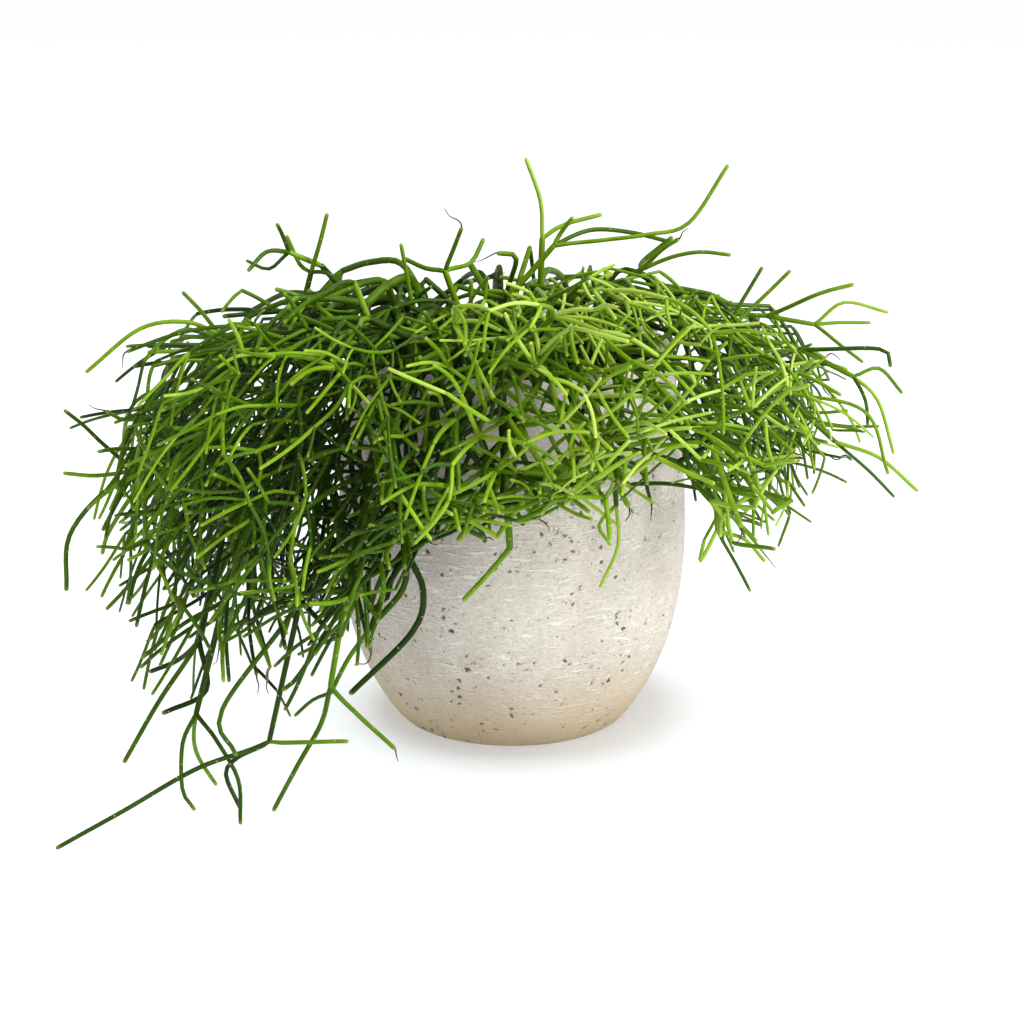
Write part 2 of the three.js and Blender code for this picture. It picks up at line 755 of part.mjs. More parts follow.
function geometryOf(solid) {
  const { vertProperties, triVerts } = solid.getMesh();
  const geometry = new THREE.BufferGeometry();
  geometry.setAttribute("position", new THREE.BufferAttribute(vertProperties, 3));
  geometry.setIndex(new THREE.BufferAttribute(triVerts, 1));
  return geometry;
}

// Turns a profile of radius and height round the axis.
function lathed(profile, sides) {
  const geometry = new THREE.LatheGeometry(profile.map(([r, z]) => new THREE.Vector2(r, z)), sides);
  return geometry.rotateX(Math.PI / 2);
}

// The pot: flat foot, round belly, rounded rim, and an inner wall that follows the outer one.
const lip = pot.wall / 2;
const lipHeight = pot.height - lip;
const innerHeights = [pot.floor + 4, 40, 70, 100, 130, soilTop];
const innerAt = (z, gap = 0) => [potRadius(z) - pot.wall - gap, z];
const footRadius = potRadius(pot.edge) - pot.edge;

function potGeometry() {
  const outer = [pot.edge, 11, 23, 40, 60, 80, 100, 120, 140, 160, 175].map((z) => [potRadius(z), z]);
  const rim = [0, 45, 90, 135, 180].map(turnOf).map((turn) => [
    potRadius(lipHeight) - lip + lip * Math.cos(turn),
    lipHeight + lip * Math.sin(turn),
  ]);
  const inner = innerHeights.map((z) => innerAt(z)).reverse();
  const floorEdge = [potRadius(pot.floor) - pot.wall - 4, pot.floor];
  const foot = [[0, 0], [footRadius, 0], [footRadius + pot.edge * 0.7, pot.edge * 0.3]];
  const profile = [...foot, ...outer, ...rim, ...inner, floorEdge, [0, pot.floor]];
  return geometryOf(solidOf(lathed(profile, pot.sides)));
}

// The soil fills the pot to below its rim, with a plain hole for each main stem.
function soilGeometry() {
  const low = pot.floor + fit;
  const wall = innerHeights.map((z) => innerAt(z, fit));
  const base = [[0, low], [potRadius(pot.floor) - pot.wall - 4 - fit, low]];
  let soil = solidOf(lathed([...base, ...wall, [0, soilTop]], pot.sides));
  const round = Array.from({ length: hole.sides }, (_, i) => {
    const angle = turnOf((360 * i) / hole.sides);
    return new THREE.Vector2(Math.cos(angle) * hole.radius, Math.sin(angle) * hole.radius);
  });
  for (const root of roots) {
    const depth = hole.depth + fit + 1;
    const plug = new THREE.ExtrudeGeometry(new THREE.Shape(round), { depth, bevelEnabled: false });
    plug.translate(root.x, root.y, soilTop - hole.depth - fit);
    soil = soil.subtract(solidOf(plug));
  }
  return geometryOf(soil);
}

const group = new THREE.Group();

function addMesh(name, geometry, color, roughness) {
  const material = new THREE.MeshStandardMaterial({ color, roughness, metalness: 0 });
  material.flatShading = true;
  const mesh = new THREE.Mesh(geometry, material);
  mesh.name = name;
  group.add(mesh);
}

const greens = {
  crown: "#5f8f2a",
  front: "#7fae3a",
  left: "#4f7d22",
  right: "#82b043",
  back: "#557f24",
};
addMesh("pot", potGeometry(), "#dcd5c8", 0.9);
addMesh("soil", soilGeometry(), "#3a2c22", 1);
for (const spray of sprays) {
  const tone = Object.keys(styles).find((key) => styles[key] === spray.style);
  addMesh(`spray_${spray.name}`, sprayGeometry(spray), greens[tone], 0.55);
}

export default group;
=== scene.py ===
import json
import math
import random

import bpy
import numpy as np
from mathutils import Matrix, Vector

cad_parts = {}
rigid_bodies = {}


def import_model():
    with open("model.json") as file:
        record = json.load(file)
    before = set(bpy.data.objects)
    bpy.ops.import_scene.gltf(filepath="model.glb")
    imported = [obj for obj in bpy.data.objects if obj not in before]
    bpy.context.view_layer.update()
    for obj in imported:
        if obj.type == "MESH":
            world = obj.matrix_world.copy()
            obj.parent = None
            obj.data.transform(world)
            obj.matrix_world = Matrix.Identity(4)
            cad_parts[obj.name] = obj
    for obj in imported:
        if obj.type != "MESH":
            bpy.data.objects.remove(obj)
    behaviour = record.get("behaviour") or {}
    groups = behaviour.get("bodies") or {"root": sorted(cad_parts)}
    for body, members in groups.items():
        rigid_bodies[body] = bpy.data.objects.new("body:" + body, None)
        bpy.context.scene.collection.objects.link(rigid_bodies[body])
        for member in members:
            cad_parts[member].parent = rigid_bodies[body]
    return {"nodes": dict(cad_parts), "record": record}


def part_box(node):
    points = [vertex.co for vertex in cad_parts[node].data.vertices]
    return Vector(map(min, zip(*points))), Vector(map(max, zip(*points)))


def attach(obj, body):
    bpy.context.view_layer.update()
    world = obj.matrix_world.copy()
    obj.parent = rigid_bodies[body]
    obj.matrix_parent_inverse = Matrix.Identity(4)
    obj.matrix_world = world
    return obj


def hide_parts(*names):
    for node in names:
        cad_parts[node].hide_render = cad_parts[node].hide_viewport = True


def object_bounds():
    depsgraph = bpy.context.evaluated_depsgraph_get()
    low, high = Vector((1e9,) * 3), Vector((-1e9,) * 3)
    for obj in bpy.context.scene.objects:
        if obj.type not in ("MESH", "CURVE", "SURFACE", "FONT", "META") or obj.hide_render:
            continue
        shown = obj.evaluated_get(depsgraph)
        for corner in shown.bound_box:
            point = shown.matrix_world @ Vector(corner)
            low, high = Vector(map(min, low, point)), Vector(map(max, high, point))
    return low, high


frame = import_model()
cad_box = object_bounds()
MM = 0.001


# The pot: cast in grey-white cement in a mould, so its wall is even, with a flat foot, a round
# belly and a rounded rim. Air trapped against the mould left the small pits, and the hand that
# smoothed it left faint level strokes. The pits are coloured dark brown: partly their own brown,
# partly painted shade in hollows too fine for the mesh.
pot_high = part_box("pot")[1]
pot_height = pot_high.z / MM
belly = pot_high.x / MM
belly_height = 100
below_belly = {"reach": 128, "power": 2.3}
above_belly = {"reach": 258, "power": 1.6}
pot_wall = 7
pot_floor = 9
foot_edge = 3
floor_corner = 4
inner_heights = (182, 178, 174, 150, 120, 90, 60, 30)
pot_sides = 480
row_step = 1.2
coarse_pits = {"spread": 3.6, "share": 0.85, "size": 1.25}
fine_pits = {"spread": 2.0, "share": 0.6, "size": 0.6}
pit_depth = 0.7
flat_foot = 0.5


def srgb(code):
    """The linear colour of an sRGB hex value such as #DCD5C8."""
    parts = [int(code[i:i + 2], 16) / 255 for i in (1, 3, 5)]
    return tuple(p / 12.92 if p <= 0.04045 else ((p + 0.055) / 1.055) ** 2.4 for p in parts) + (1,)


def add(tree, kind, inputs=None, **settings):
    """Adds a node to a tree. Inputs are values or other nodes' sockets, by name or number. A Map
    Range takes 1 and 2 to 3 and 4, and a Mix of colours blends 6 into 7 by 0."""
    made = tree.nodes.new(kind)
    for name, value in settings.items():
        setattr(made, name, value)
    for key, value in (inputs or {}).items():
        if isinstance(value, bpy.types.NodeSocket):
            tree.links.new(value, made.inputs[key])
        else:
            made.inputs[key].default_value = value
    return made


def new_material(name):
    """A new material, its node tree and its shader."""
    material = bpy.data.materials.new(name)
    material.use_nodes = True
    tree = material.node_tree
    return material, tree, tree.nodes["Principled BSDF"]


def object_place(tree):
    """Where a point lies on its piece, in millimetres, so that patterns keep their real size."""
    spot = add(tree, "ShaderNodeTexCoord")
    return add(tree, "ShaderNodeVectorMath", {0: spot.outputs["Object"], 1: (1000, 1000, 1000)},
               operation="MULTIPLY").outputs[0]


def set_stops(ramp, *stops):
    """Gives a colour ramp its stops, low to high, each a position and an sRGB hex value."""
    elements = ramp.color_ramp.elements
    for end, (position, code) in zip(elements, (stops[0], stops[-1])):
        end.position = position
        end.color = srgb(code)
    for position, code in stops[1:-1]:
        elements.new(position).color = srgb(code)


def placed(name, data):
    """Puts a mesh, a lamp or a camera in the scene as an object."""
    made = bpy.data.objects.new(name, data)
    bpy.context.scene.collection.objects.link(made)
    return made


def pot_radius(height):
    """Outer radius of the pot at a height: two soft arcs that meet at the belly."""
    below = max(0, belly_height - height) / below_belly["reach"]
    above = max(0, height - belly_height) / above_belly["reach"]
    return belly * math.sqrt(1 - below ** below_belly["power"] - above ** above_belly["power"])


def lathed(name, profile, sides):
    """A closed solid of revolution. The profile's radii and heights start and end on the axis."""
    points = [(0, 0, profile[0][1])]
    for radius, height in profile[1:-1]:
        for i in range(sides):
            angle = 2 * math.pi * i / sides
            points.append((radius * math.cos(angle), radius * math.sin(angle), height))
    points.append((0, 0, profile[-1][1]))
    faces = []
    rings = len(profile) - 2
    for i in range(sides):
        after = (i + 1) % sides
        faces.append((0, 1 + after, 1 + i))
        for ring in range(rings - 1):
            low = 1 + ring * sides
            high = low + sides
            faces.append((low + i, low + after, high + after, high + i))
        last = 1 + (rings - 1) * sides
        faces.append((len(points) - 1, last + i, last + after))
    mesh = bpy.data.meshes.new(name)
    mesh.from_pydata([tuple(c * MM for c in point) for point in points], [], faces)
    mesh.shade_smooth()
    return placed(name, mesh)


def pot_profile():
    """Foot, outer wall, rim and inner wall, in fine steps wherever the cement shows."""
    foot_radius = pot_radius(foot_edge) - foot_edge
    profile = [(0, 0), (foot_radius * 0.5, 0), (foot_radius, 0)]
    for angle in (22.5, 45, 67.5):
        turn = math.radians(angle)
        rise = foot_edge * (1 - math.cos(turn))
        profile.append((foot_radius + (pot_radius(rise) - foot_radius) * math.sin(turn), rise))
    lip = pot_wall / 2
    lip_height = pot_height - lip
    rows = round((lip_height - foot_edge) / row_step)
    for i in range(rows + 1):
        height = foot_edge + (lip_height - foot_edge) * i / rows
        profile.append((pot_radius(height), height))
    middle = pot_radius(lip_height) - lip
    for angle in range(18, 180, 18):
        turn = math.radians(angle)
        profile.append((middle + lip * math.cos(turn), lip_height + lip * math.sin(turn)))
    for height in (lip_height, *inner_heights, pot_floor + floor_corner):
        profile.append((pot_radius(height) - pot_wall, height))
    profile.append((pot_radius(pot_floor) - pot_wall - floor_corner, pot_floor))
    return profile + [(0, pot_floor)]


def pit_mask(tree, place, spread, share, size):
    """How deep a pit is at a place in millimetres, 0 to 1, and a random tint for each pit. A share
    of random points has a ragged pit round it, small for most and at its full size for few, and
    the pits crowd in some places."""
    wobble = add(tree, "ShaderNodeTexNoise", {"Vector": place, "Scale": 1 / 0.9, "Detail": 3.0})
    shift = add(tree, "ShaderNodeVectorMath", {0: wobble.outputs["Color"], 1: (0.5, 0.5, 0.5)},
                operation="SUBTRACT")
    bent = add(tree, "ShaderNodeVectorMath", {0: shift.outputs[0], 1: (3.9, 3.9, 3.9), 2: place},
               operation="MULTIPLY_ADD")
    cells = add(tree, "ShaderNodeTexVoronoi", {"Vector": bent.outputs[0], "Scale": 1 / spread})
    kind = add(tree, "ShaderNodeSeparateXYZ", {0: cells.outputs["Color"]})
    rank = add(tree, "ShaderNodeMapRange", {0: kind.outputs[0], 1: 1 - share, 2: 1.0, 3: 0.02,
                                            4: 1.0})
    few = add(tree, "ShaderNodeMath", {0: rank.outputs[0], 1: 1.2}, operation="POWER")
    crowd = add(tree, "ShaderNodeTexNoise", {"Vector": place, "Scale": 1 / 15, "Detail": 1.0})
    most = size / spread
    crowded = add(tree, "ShaderNodeMapRange", {0: crowd.outputs[0], 1: 0.38, 2: 0.62,
                                               3: 0.45 * most, 4: 1.2 * most})
    chosen = add(tree, "ShaderNodeMath", {0: few.outputs[0], 1: crowded.outputs[0]},
                 operation="MULTIPLY")
    ratio = add(tree, "ShaderNodeMath", {0: cells.outputs["Distance"], 1: chosen.outputs[0]},
                operation="DIVIDE")
    mask = add(tree, "ShaderNodeMapRange", {0: ratio.outputs[0], 1: 1.0, 2: 0.6, 3: 0.0, 4: 1.0},
               interpolation_type="SMOOTHSTEP")
    return mask.outputs[0], kind.outputs[1]


def new_group(name, sockets):
    """An empty Geometry Nodes tree with a geometry input and output and the named inputs."""
    tree = bpy.data.node_groups.new(name, "GeometryNodeTree")
    tree.interface.new_socket("Geometry", in_out="INPUT", socket_type="NodeSocketGeometry")
    for label, kind in sockets.items():
        tree.interface.new_socket(label, in_out="INPUT", socket_type=kind)
    tree.interface.new_socket("Geometry", in_out="OUTPUT", socket_type="NodeSocketGeometry")
    return tree, add(tree, "NodeGroupInput"), add(tree, "NodeGroupOutput")


def end_group(tree, given, made, geometry):
    """Ends a tree: its instances become real, and the piece gets its material."""
    solid = add(tree, "GeometryNodeRealizeInstances", {0: geometry})
    dressed = add(tree, "GeometryNodeSetMaterial", {"Geometry": solid.outputs[0],
                                                    "Material": given.outputs["Material"]})
    tree.links.new(dressed.outputs[0], made.inputs[0])
    return tree


def through(piece, tree, values):
    """Runs a mesh through a Geometry Nodes tree, and keeps the result as its plain mesh."""
    modifier = piece.modifiers.new(tree.name, "NODES")
    modifier.node_group = tree
    for item in tree.interface.items_tree:
        if item.in_out == "INPUT" and item.name in values:
            modifier[item.identifier] = values[item.name]
    bpy.context.view_layer.update()
    graph = bpy.context.evaluated_depsgraph_get()
    mesh = bpy.data.meshes.new_from_object(piece.evaluated_get(graph))
    piece.modifiers.remove(modifier)
    old = piece.data
    piece.data = mesh
    bpy.data.meshes.remove(old)
    mesh.name = piece.name
    return piece


def cement():
    """Matt cast cement: cream white and mottled, tan where the damp foot has stained it, with
    painted light that makes it paler further up.
    """
    material, tree, shader = new_material("cast cream cement")
    shader.inputs["IOR"].default_value = 1.5
    place = object_place(tree)
    mottle = add(tree, "ShaderNodeTexNoise", {"Vector": place, "Scale": 1 / 26, "Detail": 6.0,
                                              "Roughness": 0.62})
    base = add(tree, "ShaderNodeValToRGB", {0: mottle.outputs[0]})
    set_stops(base, (0.32, "#CEC5B9"), (0.68, "#DED7CD"))

    # Pale level strokes, about 10 mm long and 1.6 mm high.
    level = add(tree, "ShaderNodeVectorMath", {0: place, 1: (1 / 10, 1 / 10, 1 / 1.6)},
                operation="MULTIPLY")
    strokes = add(tree, "ShaderNodeTexNoise", {"Vector": level.outputs[0], "Scale": 1.0,
                                               "Detail": 2.0})
    streak = add(tree, "ShaderNodeMapRange", {0: strokes.outputs[0], 1: 0.56, 2: 0.68, 3: 0.0,
                                              4: 0.75})
    stroked = add(tree, "ShaderNodeMix", {0: streak.outputs[0], 6: base.outputs[0],
                                          7: srgb("#F1EEE7")}, data_type="RGBA")

    # Grit of 0.9 mm and rubbed patches of 2.4 mm, and painted light: a factor that runs from darker
    # low down to paler high up lifts the upper wall against the shade that the foliage casts on it.
    grain = add(tree, "ShaderNodeTexNoise", {"Vector": place, "Scale": 1 / 0.9, "Detail": 3.0,
                                             "Roughness": 0.7})
    wiped = add(tree, "ShaderNodeVectorMath", {0: place, 1: (1 / 2.4, 1 / 2.4, 1 / 1.2)},
                operation="MULTIPLY")
    rub = add(tree, "ShaderNodeTexNoise", {"Vector": wiped.outputs[0], "Scale": 1.0, "Detail": 2.0,
                                           "Roughness": 0.55})
    worn_by = add(tree, "ShaderNodeMath", {0: grain.outputs[0], 1: rub.outputs[0]},
                  operation="ADD")
    dull = add(tree, "ShaderNodeMapRange", {0: worn_by.outputs[0], 1: 0.72, 2: 1.28, 3: 0.8,
                                            4: 1.13})
    height = add(tree, "ShaderNodeSeparateXYZ", {0: place})
    ragged = add(tree, "ShaderNodeMath", {0: mottle.outputs[0], 1: 16.0, 2: height.outputs[2]},
                 operation="MULTIPLY_ADD")
    # Painted light: the cement is lightened further up, against the foliage's shade on the upper
    # wall.
    painted_light_up = add(tree, "ShaderNodeMapRange", {0: ragged.outputs[0], 1: 20.0, 2: 150.0, 3: 0.81,
                                             4: 1.17})
    wear_and_painted_light = add(tree, "ShaderNodeMath", {0: dull.outputs[0], 1: painted_light_up.outputs[0]},
                 operation="MULTIPLY")
    grain_and_painted_light = add(tree, "ShaderNodeMix", {0: 1.0, 6: stroked.outputs[2], 7: wear_and_painted_light.outputs[0]},
                 data_type="RGBA", blend_type="MULTIPLY")
    damp = add(tree, "ShaderNodeMapRange", {0: ragged.outputs[0], 1: 70.0, 2: 6.0, 3: 0.0,
                                            4: 0.87}, interpolation_type="SMOOTHSTEP")
    stained = add(tree, "ShaderNodeMix", {0: damp.outputs[0], 6: grain_and_painted_light.outputs[2],
                                          7: srgb("#C5AF8C")}, data_type="RGBA")

    large, tint = pit_mask(tree, place, **coarse_pits)
    small, _ = pit_mask(tree, place, **fine_pits)
    faint = add(tree, "ShaderNodeMath", {0: small, 1: 0.75}, operation="MULTIPLY")
    pits = add(tree, "ShaderNodeMath", {0: large, 1: faint.outputs[0]}, operation="MAXIMUM")
    # Painted shade: the pits are coloured dark brown, partly their own colour and partly the shade
    # in hollows too fine for the mesh.
    pit_brown_and_shade = add(tree, "ShaderNodeMix", {0: tint, 6: srgb("#412D1B"), 7: srgb("#7C5836")},
                data_type="RGBA")
    shown = add(tree, "ShaderNodeMath", {0: pits.outputs[0], 1: 0.95}, operation="MULTIPLY")
    pitted = add(tree, "ShaderNodeMix", {0: shown.outputs[0], 6: stained.outputs[2],
                                         7: pit_brown_and_shade.outputs[2]}, data_type="RGBA")
    tree.links.new(pitted.outputs[2], shader.inputs["Base Color"])

    worn = add(tree, "ShaderNodeMapRange", {0: grain.outputs[0], 1: 0.3, 2: 0.7, 3: 0.78, 4: 0.92})
    tree.links.new(worn.outputs[0], shader.inputs["Roughness"])
    raised = add(tree, "ShaderNodeMath", {0: worn_by.outputs[0], 1: streak.outputs[0]},
                 operation="ADD")
    lie = add(tree, "ShaderNodeMath", {0: raised.outputs[0], 1: pits.outputs[0]},
              operation="SUBTRACT")
    bump = add(tree, "ShaderNodeBump", {"Height": lie.outputs[0], "Distance": 0.4 * MM,
                                        "Strength": 1.0})
    tree.links.new(bump.outputs[0], shader.inputs["Normal"])
    return material


def cement_relief():
    """Sinks the pits and the strokes into the cement, and makes the wall a little uneven."""
    tree, given, made = new_group("cement relief", {"Pit depth": "NodeSocketFloat",
                                                    "Material": "NodeSocketMaterial"})
    spot = add(tree, "GeometryNodeInputPosition")
    place = add(tree, "ShaderNodeVectorMath", {0: spot.outputs[0], 1: (1000, 1000, 1000)},
                operation="MULTIPLY").outputs[0]
    large, _ = pit_mask(tree, place, **coarse_pits)
    depth = add(tree, "ShaderNodeMath", {0: large, 1: given.outputs["Pit depth"]},
                operation="MULTIPLY")
    uneven = add(tree, "ShaderNodeTexNoise", {"Vector": place, "Scale": 1 / 22, "Detail": 3.0})
    swell = add(tree, "ShaderNodeMapRange", {0: uneven.outputs[0], 1: 0.2, 2: 0.8, 3: -0.25,
                                             4: 0.15})
    level = add(tree, "ShaderNodeVectorMath", {0: place, 1: (1 / 40, 1 / 40, 1 / 2.6)},
                operation="MULTIPLY")
    strokes = add(tree, "ShaderNodeTexNoise", {"Vector": level.outputs[0], "Scale": 1.0,
                                               "Detail": 2.0})
    ridge = add(tree, "ShaderNodeMath", {0: strokes.outputs[0], 1: 0.22, 2: swell.outputs[0]},
                operation="MULTIPLY_ADD")
    out = add(tree, "ShaderNodeMath", {0: ridge.outputs[0], 1: depth.outputs[0]},
              operation="SUBTRACT")
    normal = add(tree, "GeometryNodeInputNormal")
    offset = add(tree, "ShaderNodeVectorMath", {0: normal.outputs[0], 3: out.outputs[0]},
                 operation="SCALE")
    metres = add(tree, "ShaderNodeVectorMath", {0: offset.outputs[0], 3: MM}, operation="SCALE")
    parts = add(tree, "ShaderNodeSeparateXYZ", {0: place})
    clear = add(tree, "FunctionNodeCompare", {0: parts.outputs[2], 1: flat_foot},
                operation="GREATER_THAN")
    moved = add(tree, "GeometryNodeSetPosition", {"Geometry": given.outputs[0],
                                                  "Selection": clear.outputs[0],
                                                  "Offset": metres.outputs[0]})
    return end_group(tree, given, made, moved.outputs[0])


cement_material = cement()
pot = lathed("cement_pot", pot_profile(), pot_sides)
through(pot, cement_relief(), {"Pit depth": pit_depth, "Material": cement_material})
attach(pot, "root")
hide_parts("pot")


# The soil: dark potting mix of peat, bark crumbs and a little grit, filled to below the rim. Its
# surface is loose and uneven, and the stems stand in it.
soil_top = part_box("soil")[1].z / MM
soil_sides = 180
soil_rings = 40
soil_heights = (40, 70, 100, 130, 150)
soil_gap = 0.3
soil_skin = 0.6
heave_depth = 2.2
crumbs_per_m2 = 130000.0
crumb_radii = (0.35, 1.5)


def potting_soil():
    """Damp peat: nearly black brown and quite matt, with paler crumbs of bark."""
    material, tree, shader = new_material("damp potting soil")
    shader.inputs["Roughness"].default_value = 0.95
    place = object_place(tree)
    crumbs = add(tree, "ShaderNodeTexVoronoi", {"Vector": place, "Scale": 1 / 2.4})
    kind = add(tree, "ShaderNodeSeparateColor", {0: crumbs.outputs["Color"]})
    tone = add(tree, "ShaderNodeValToRGB", {0: kind.outputs[0]})
    set_stops(tone, (0, "#1E1610"), (1, "#5E4632"))
    tree.links.new(tone.outputs[0], shader.inputs["Base Color"])
    rough = add(tree, "ShaderNodeTexNoise", {"Vector": place, "Scale": 1 / 1.1, "Detail": 4.0})
    bump = add(tree, "ShaderNodeBump", {"Height": rough.outputs[0], "Distance": 0.8 * MM})
    tree.links.new(bump.outputs[0], shader.inputs["Normal"])
    return material


def soil_surface():
    """Heaves the surface of the soil a little, and strews it with crumbs of many sizes."""
    tree, given, made = new_group("strewn soil", {"Crumbs": "NodeSocketFloat",
                                                  "Top": "NodeSocketFloat",
                                                  "Material": "NodeSocketMaterial"})
    spot = add(tree, "GeometryNodeInputPosition")
    parts = add(tree, "ShaderNodeSeparateXYZ", {0: spot.outputs[0]})
    top = add(tree, "ShaderNodeMath", {0: given.outputs["Top"], 1: soil_skin * MM},
              operation="SUBTRACT")
    is_top = add(tree, "FunctionNodeCompare", {0: parts.outputs[2], 1: top.outputs[0]},
                 operation="GREATER_THAN")
    lumps = add(tree, "ShaderNodeTexNoise", {"Vector": spot.outputs[0], "Scale": 1000 / 9,
                                             "Detail": 3.0})
    heave = add(tree, "ShaderNodeMapRange", {0: lumps.outputs[0], 1: 0.25, 2: 0.75,
                                             3: -heave_depth * MM, 4: 0.0})
    up = add(tree, "ShaderNodeCombineXYZ", {2: heave.outputs[0]})
    noted = add(tree, "GeometryNodeStoreNamedAttribute",
                {"Geometry": given.outputs[0], "Name": "surface", "Value": is_top.outputs[0]},
                data_type="BOOLEAN", domain="POINT")
    surface = add(tree, "GeometryNodeInputNamedAttribute", {"Name": "surface"}, data_type="BOOLEAN")
    uneven = add(tree, "GeometryNodeSetPosition", {"Geometry": noted.outputs[0],
                                                   "Selection": surface.outputs[0],
                                                   "Offset": up.outputs[0]})
    strewn = add(tree, "GeometryNodeDistributePointsOnFaces",
                 {"Mesh": uneven.outputs[0], "Selection": surface.outputs[0],
                  "Density": given.outputs["Crumbs"], "Seed": 4})
    crumb = add(tree, "GeometryNodeMeshIcoSphere", {"Radius": 1.0, "Subdivisions": 1})
    least, most = ((radius * MM,) * 3 for radius in crumb_radii)
    size = add(tree, "FunctionNodeRandomValue", {"Min": least, "Max": most, "Seed": 5},
               data_type="FLOAT_VECTOR")
    turn = add(tree, "FunctionNodeRandomValue", {"Max": (6.28, 6.28, 6.28), "Seed": 6},
               data_type="FLOAT_VECTOR")
    copies = add(tree, "GeometryNodeInstanceOnPoints",
                 {"Points": strewn.outputs[0], "Instance": crumb.outputs[0],
                  "Rotation": turn.outputs[0], "Scale": size.outputs[0]})
    joined = add(tree, "GeometryNodeJoinGeometry")
    tree.links.new(uneven.outputs[0], joined.inputs[0])
    tree.links.new(copies.outputs[0], joined.inputs[0])
    return end_group(tree, given, made, joined.outputs[0])


def soil_profile():
    """The soil inside the pot's wall, with fine rings on top for the uneven surface."""
    floor_radius = pot_radius(pot_floor) - pot_wall - floor_corner - soil_gap
    profile = [(0, pot_floor + soil_gap), (floor_radius, pot_floor + soil_gap)]
    for height in (pot_floor + floor_corner, *soil_heights, soil_top):
        profile.append((pot_radius(height) - pot_wall - soil_gap, height))
    edge = profile[-1][0]
    profile += [(edge * (1 - i / soil_rings), soil_top) for i in range(1, soil_rings)]
    return profile + [(0, soil_top)]


soil = lathed("potting_soil", soil_profile(), soil_sides)
through(soil, soil_surface(), {"Crumbs": crumbs_per_m2, "Top": soil_top * MM,
                               "Material": potting_soil()})
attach(soil, "root")
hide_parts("soil")


# The plant: leafless stems that fork again and again. Each spray is one plant stem with all that
# grows from it, and follows its solid in the frame. The solid's tubes have three sides and are
# joined face to face, so the walk below finds each ring of three corners, and the joints.
root_depth = 13
soil_reach = 70
corner_reach = 1.2
stem_slots = {p["node"]: p["material_slot"] for p in frame["record"]["subparts"]}


class Stem:
    """A stem of a spray: the points of its centreline, its radius, and the stem it grows from."""

    def __init__(self, points, radius, parent, at=-1):
        self.points = points
        self.radius = radius
        self.parent = parent
        self.kids = []
        self.depth = 0 if parent is None else parent.depth + 1
        self.came_along = parent and parent.heading(at)
        if parent:
            parent.kids.append(self)

    def heading(self, at=-1):
        """The direction of the stem where it comes to one of its points."""
        way = self.points[at] - self.points[at - 1]
        return way / np.linalg.norm(way)


def ring_after(ahead, ring):
    """The three corners that follow on from a ring in the same stem, or None at its end."""
    a, b, c = ring
    x, y, z = ahead[a, b], ahead[b, c], ahead[c, a]
    goes_on = ahead.get((a, x)) == z and ahead.get((b, y)) == x and ahead.get((c, z)) == y
    return (z, x, y) if goes_on else None


def read_solid(node):
    """The corners of a spray's solid in millimetres, the third corner of the face that each edge
    starts, and the corners that each corner touches."""
    numbers = {}
    corners = []
    for vertex in node.data.vertices:
        key = tuple(round(c * 1e5) for c in vertex.co)
        corners.append(numbers.setdefault(key, len(numbers)))
    places = np.array(list(numbers)) / 100
    ahead = {}
    touching = {}
    for face in node.data.polygons:
        a, b, c = (corners[i] for i in face.vertices)
        for start, end, third in ((a, b, c), (b, c, a), (c, a, b)):
            ahead[start, end] = third
            touching.setdefault(start, set()).add(end)
            touching.setdefault(end, set()).add(start)
    return places, ahead, touching


def foot_of(places, ahead):
    """The level ring of three corners that a spray stands on, deep in the soil."""
    for (start, end), third in ahead.items():
        x, y, z = places[start]
        is_level = np.ptp(places[[start, end, third], 2]) < 0.02
        if is_level and abs(z - soil_top + root_depth) < 0.05 and np.hypot(x, y) < soil_reach:
            return end, start, third
    raise ValueError("a spray has no foot in the soil")


def stems_of(node):
    """Follows the tubes of a spray's solid from its foot, and returns its stems."""
    places, ahead, touching = read_solid(node)
    stems = []
    waiting = [(foot_of(places, ahead), None)]
    while waiting:
        ring, parent = waiting.pop()
        rings = [ring]
        while (after := ring_after(ahead, rings[-1])):
            rings.append(after)
        centres = [places[list(r)].mean(axis=0) for r in rings]
        if parent:
            centres[0] = parent.points[-1]
        last = places[list(rings[-1])]
        radius = np.linalg.norm(last - last.mean(axis=0), axis=1).mean() / corner_reach
        stem = Stem(centres, radius, parent)
        stems.append(stem)
        a, b, c = rings[-1]
        if ahead[a, b] == c:
            continue
        tip = (touching[a] & touching[b] & touching[c] - {a, b, c}).pop()
        for p, q in ((a, b), (b, c), (c, a)):
            if ahead[p, q] != tip:
                waiting.append(((p, q, tip), stem))
    return stems


sprays = {name: stems_of(frame["nodes"][name]) for name in sorted(stem_slots) if "spray" in name}

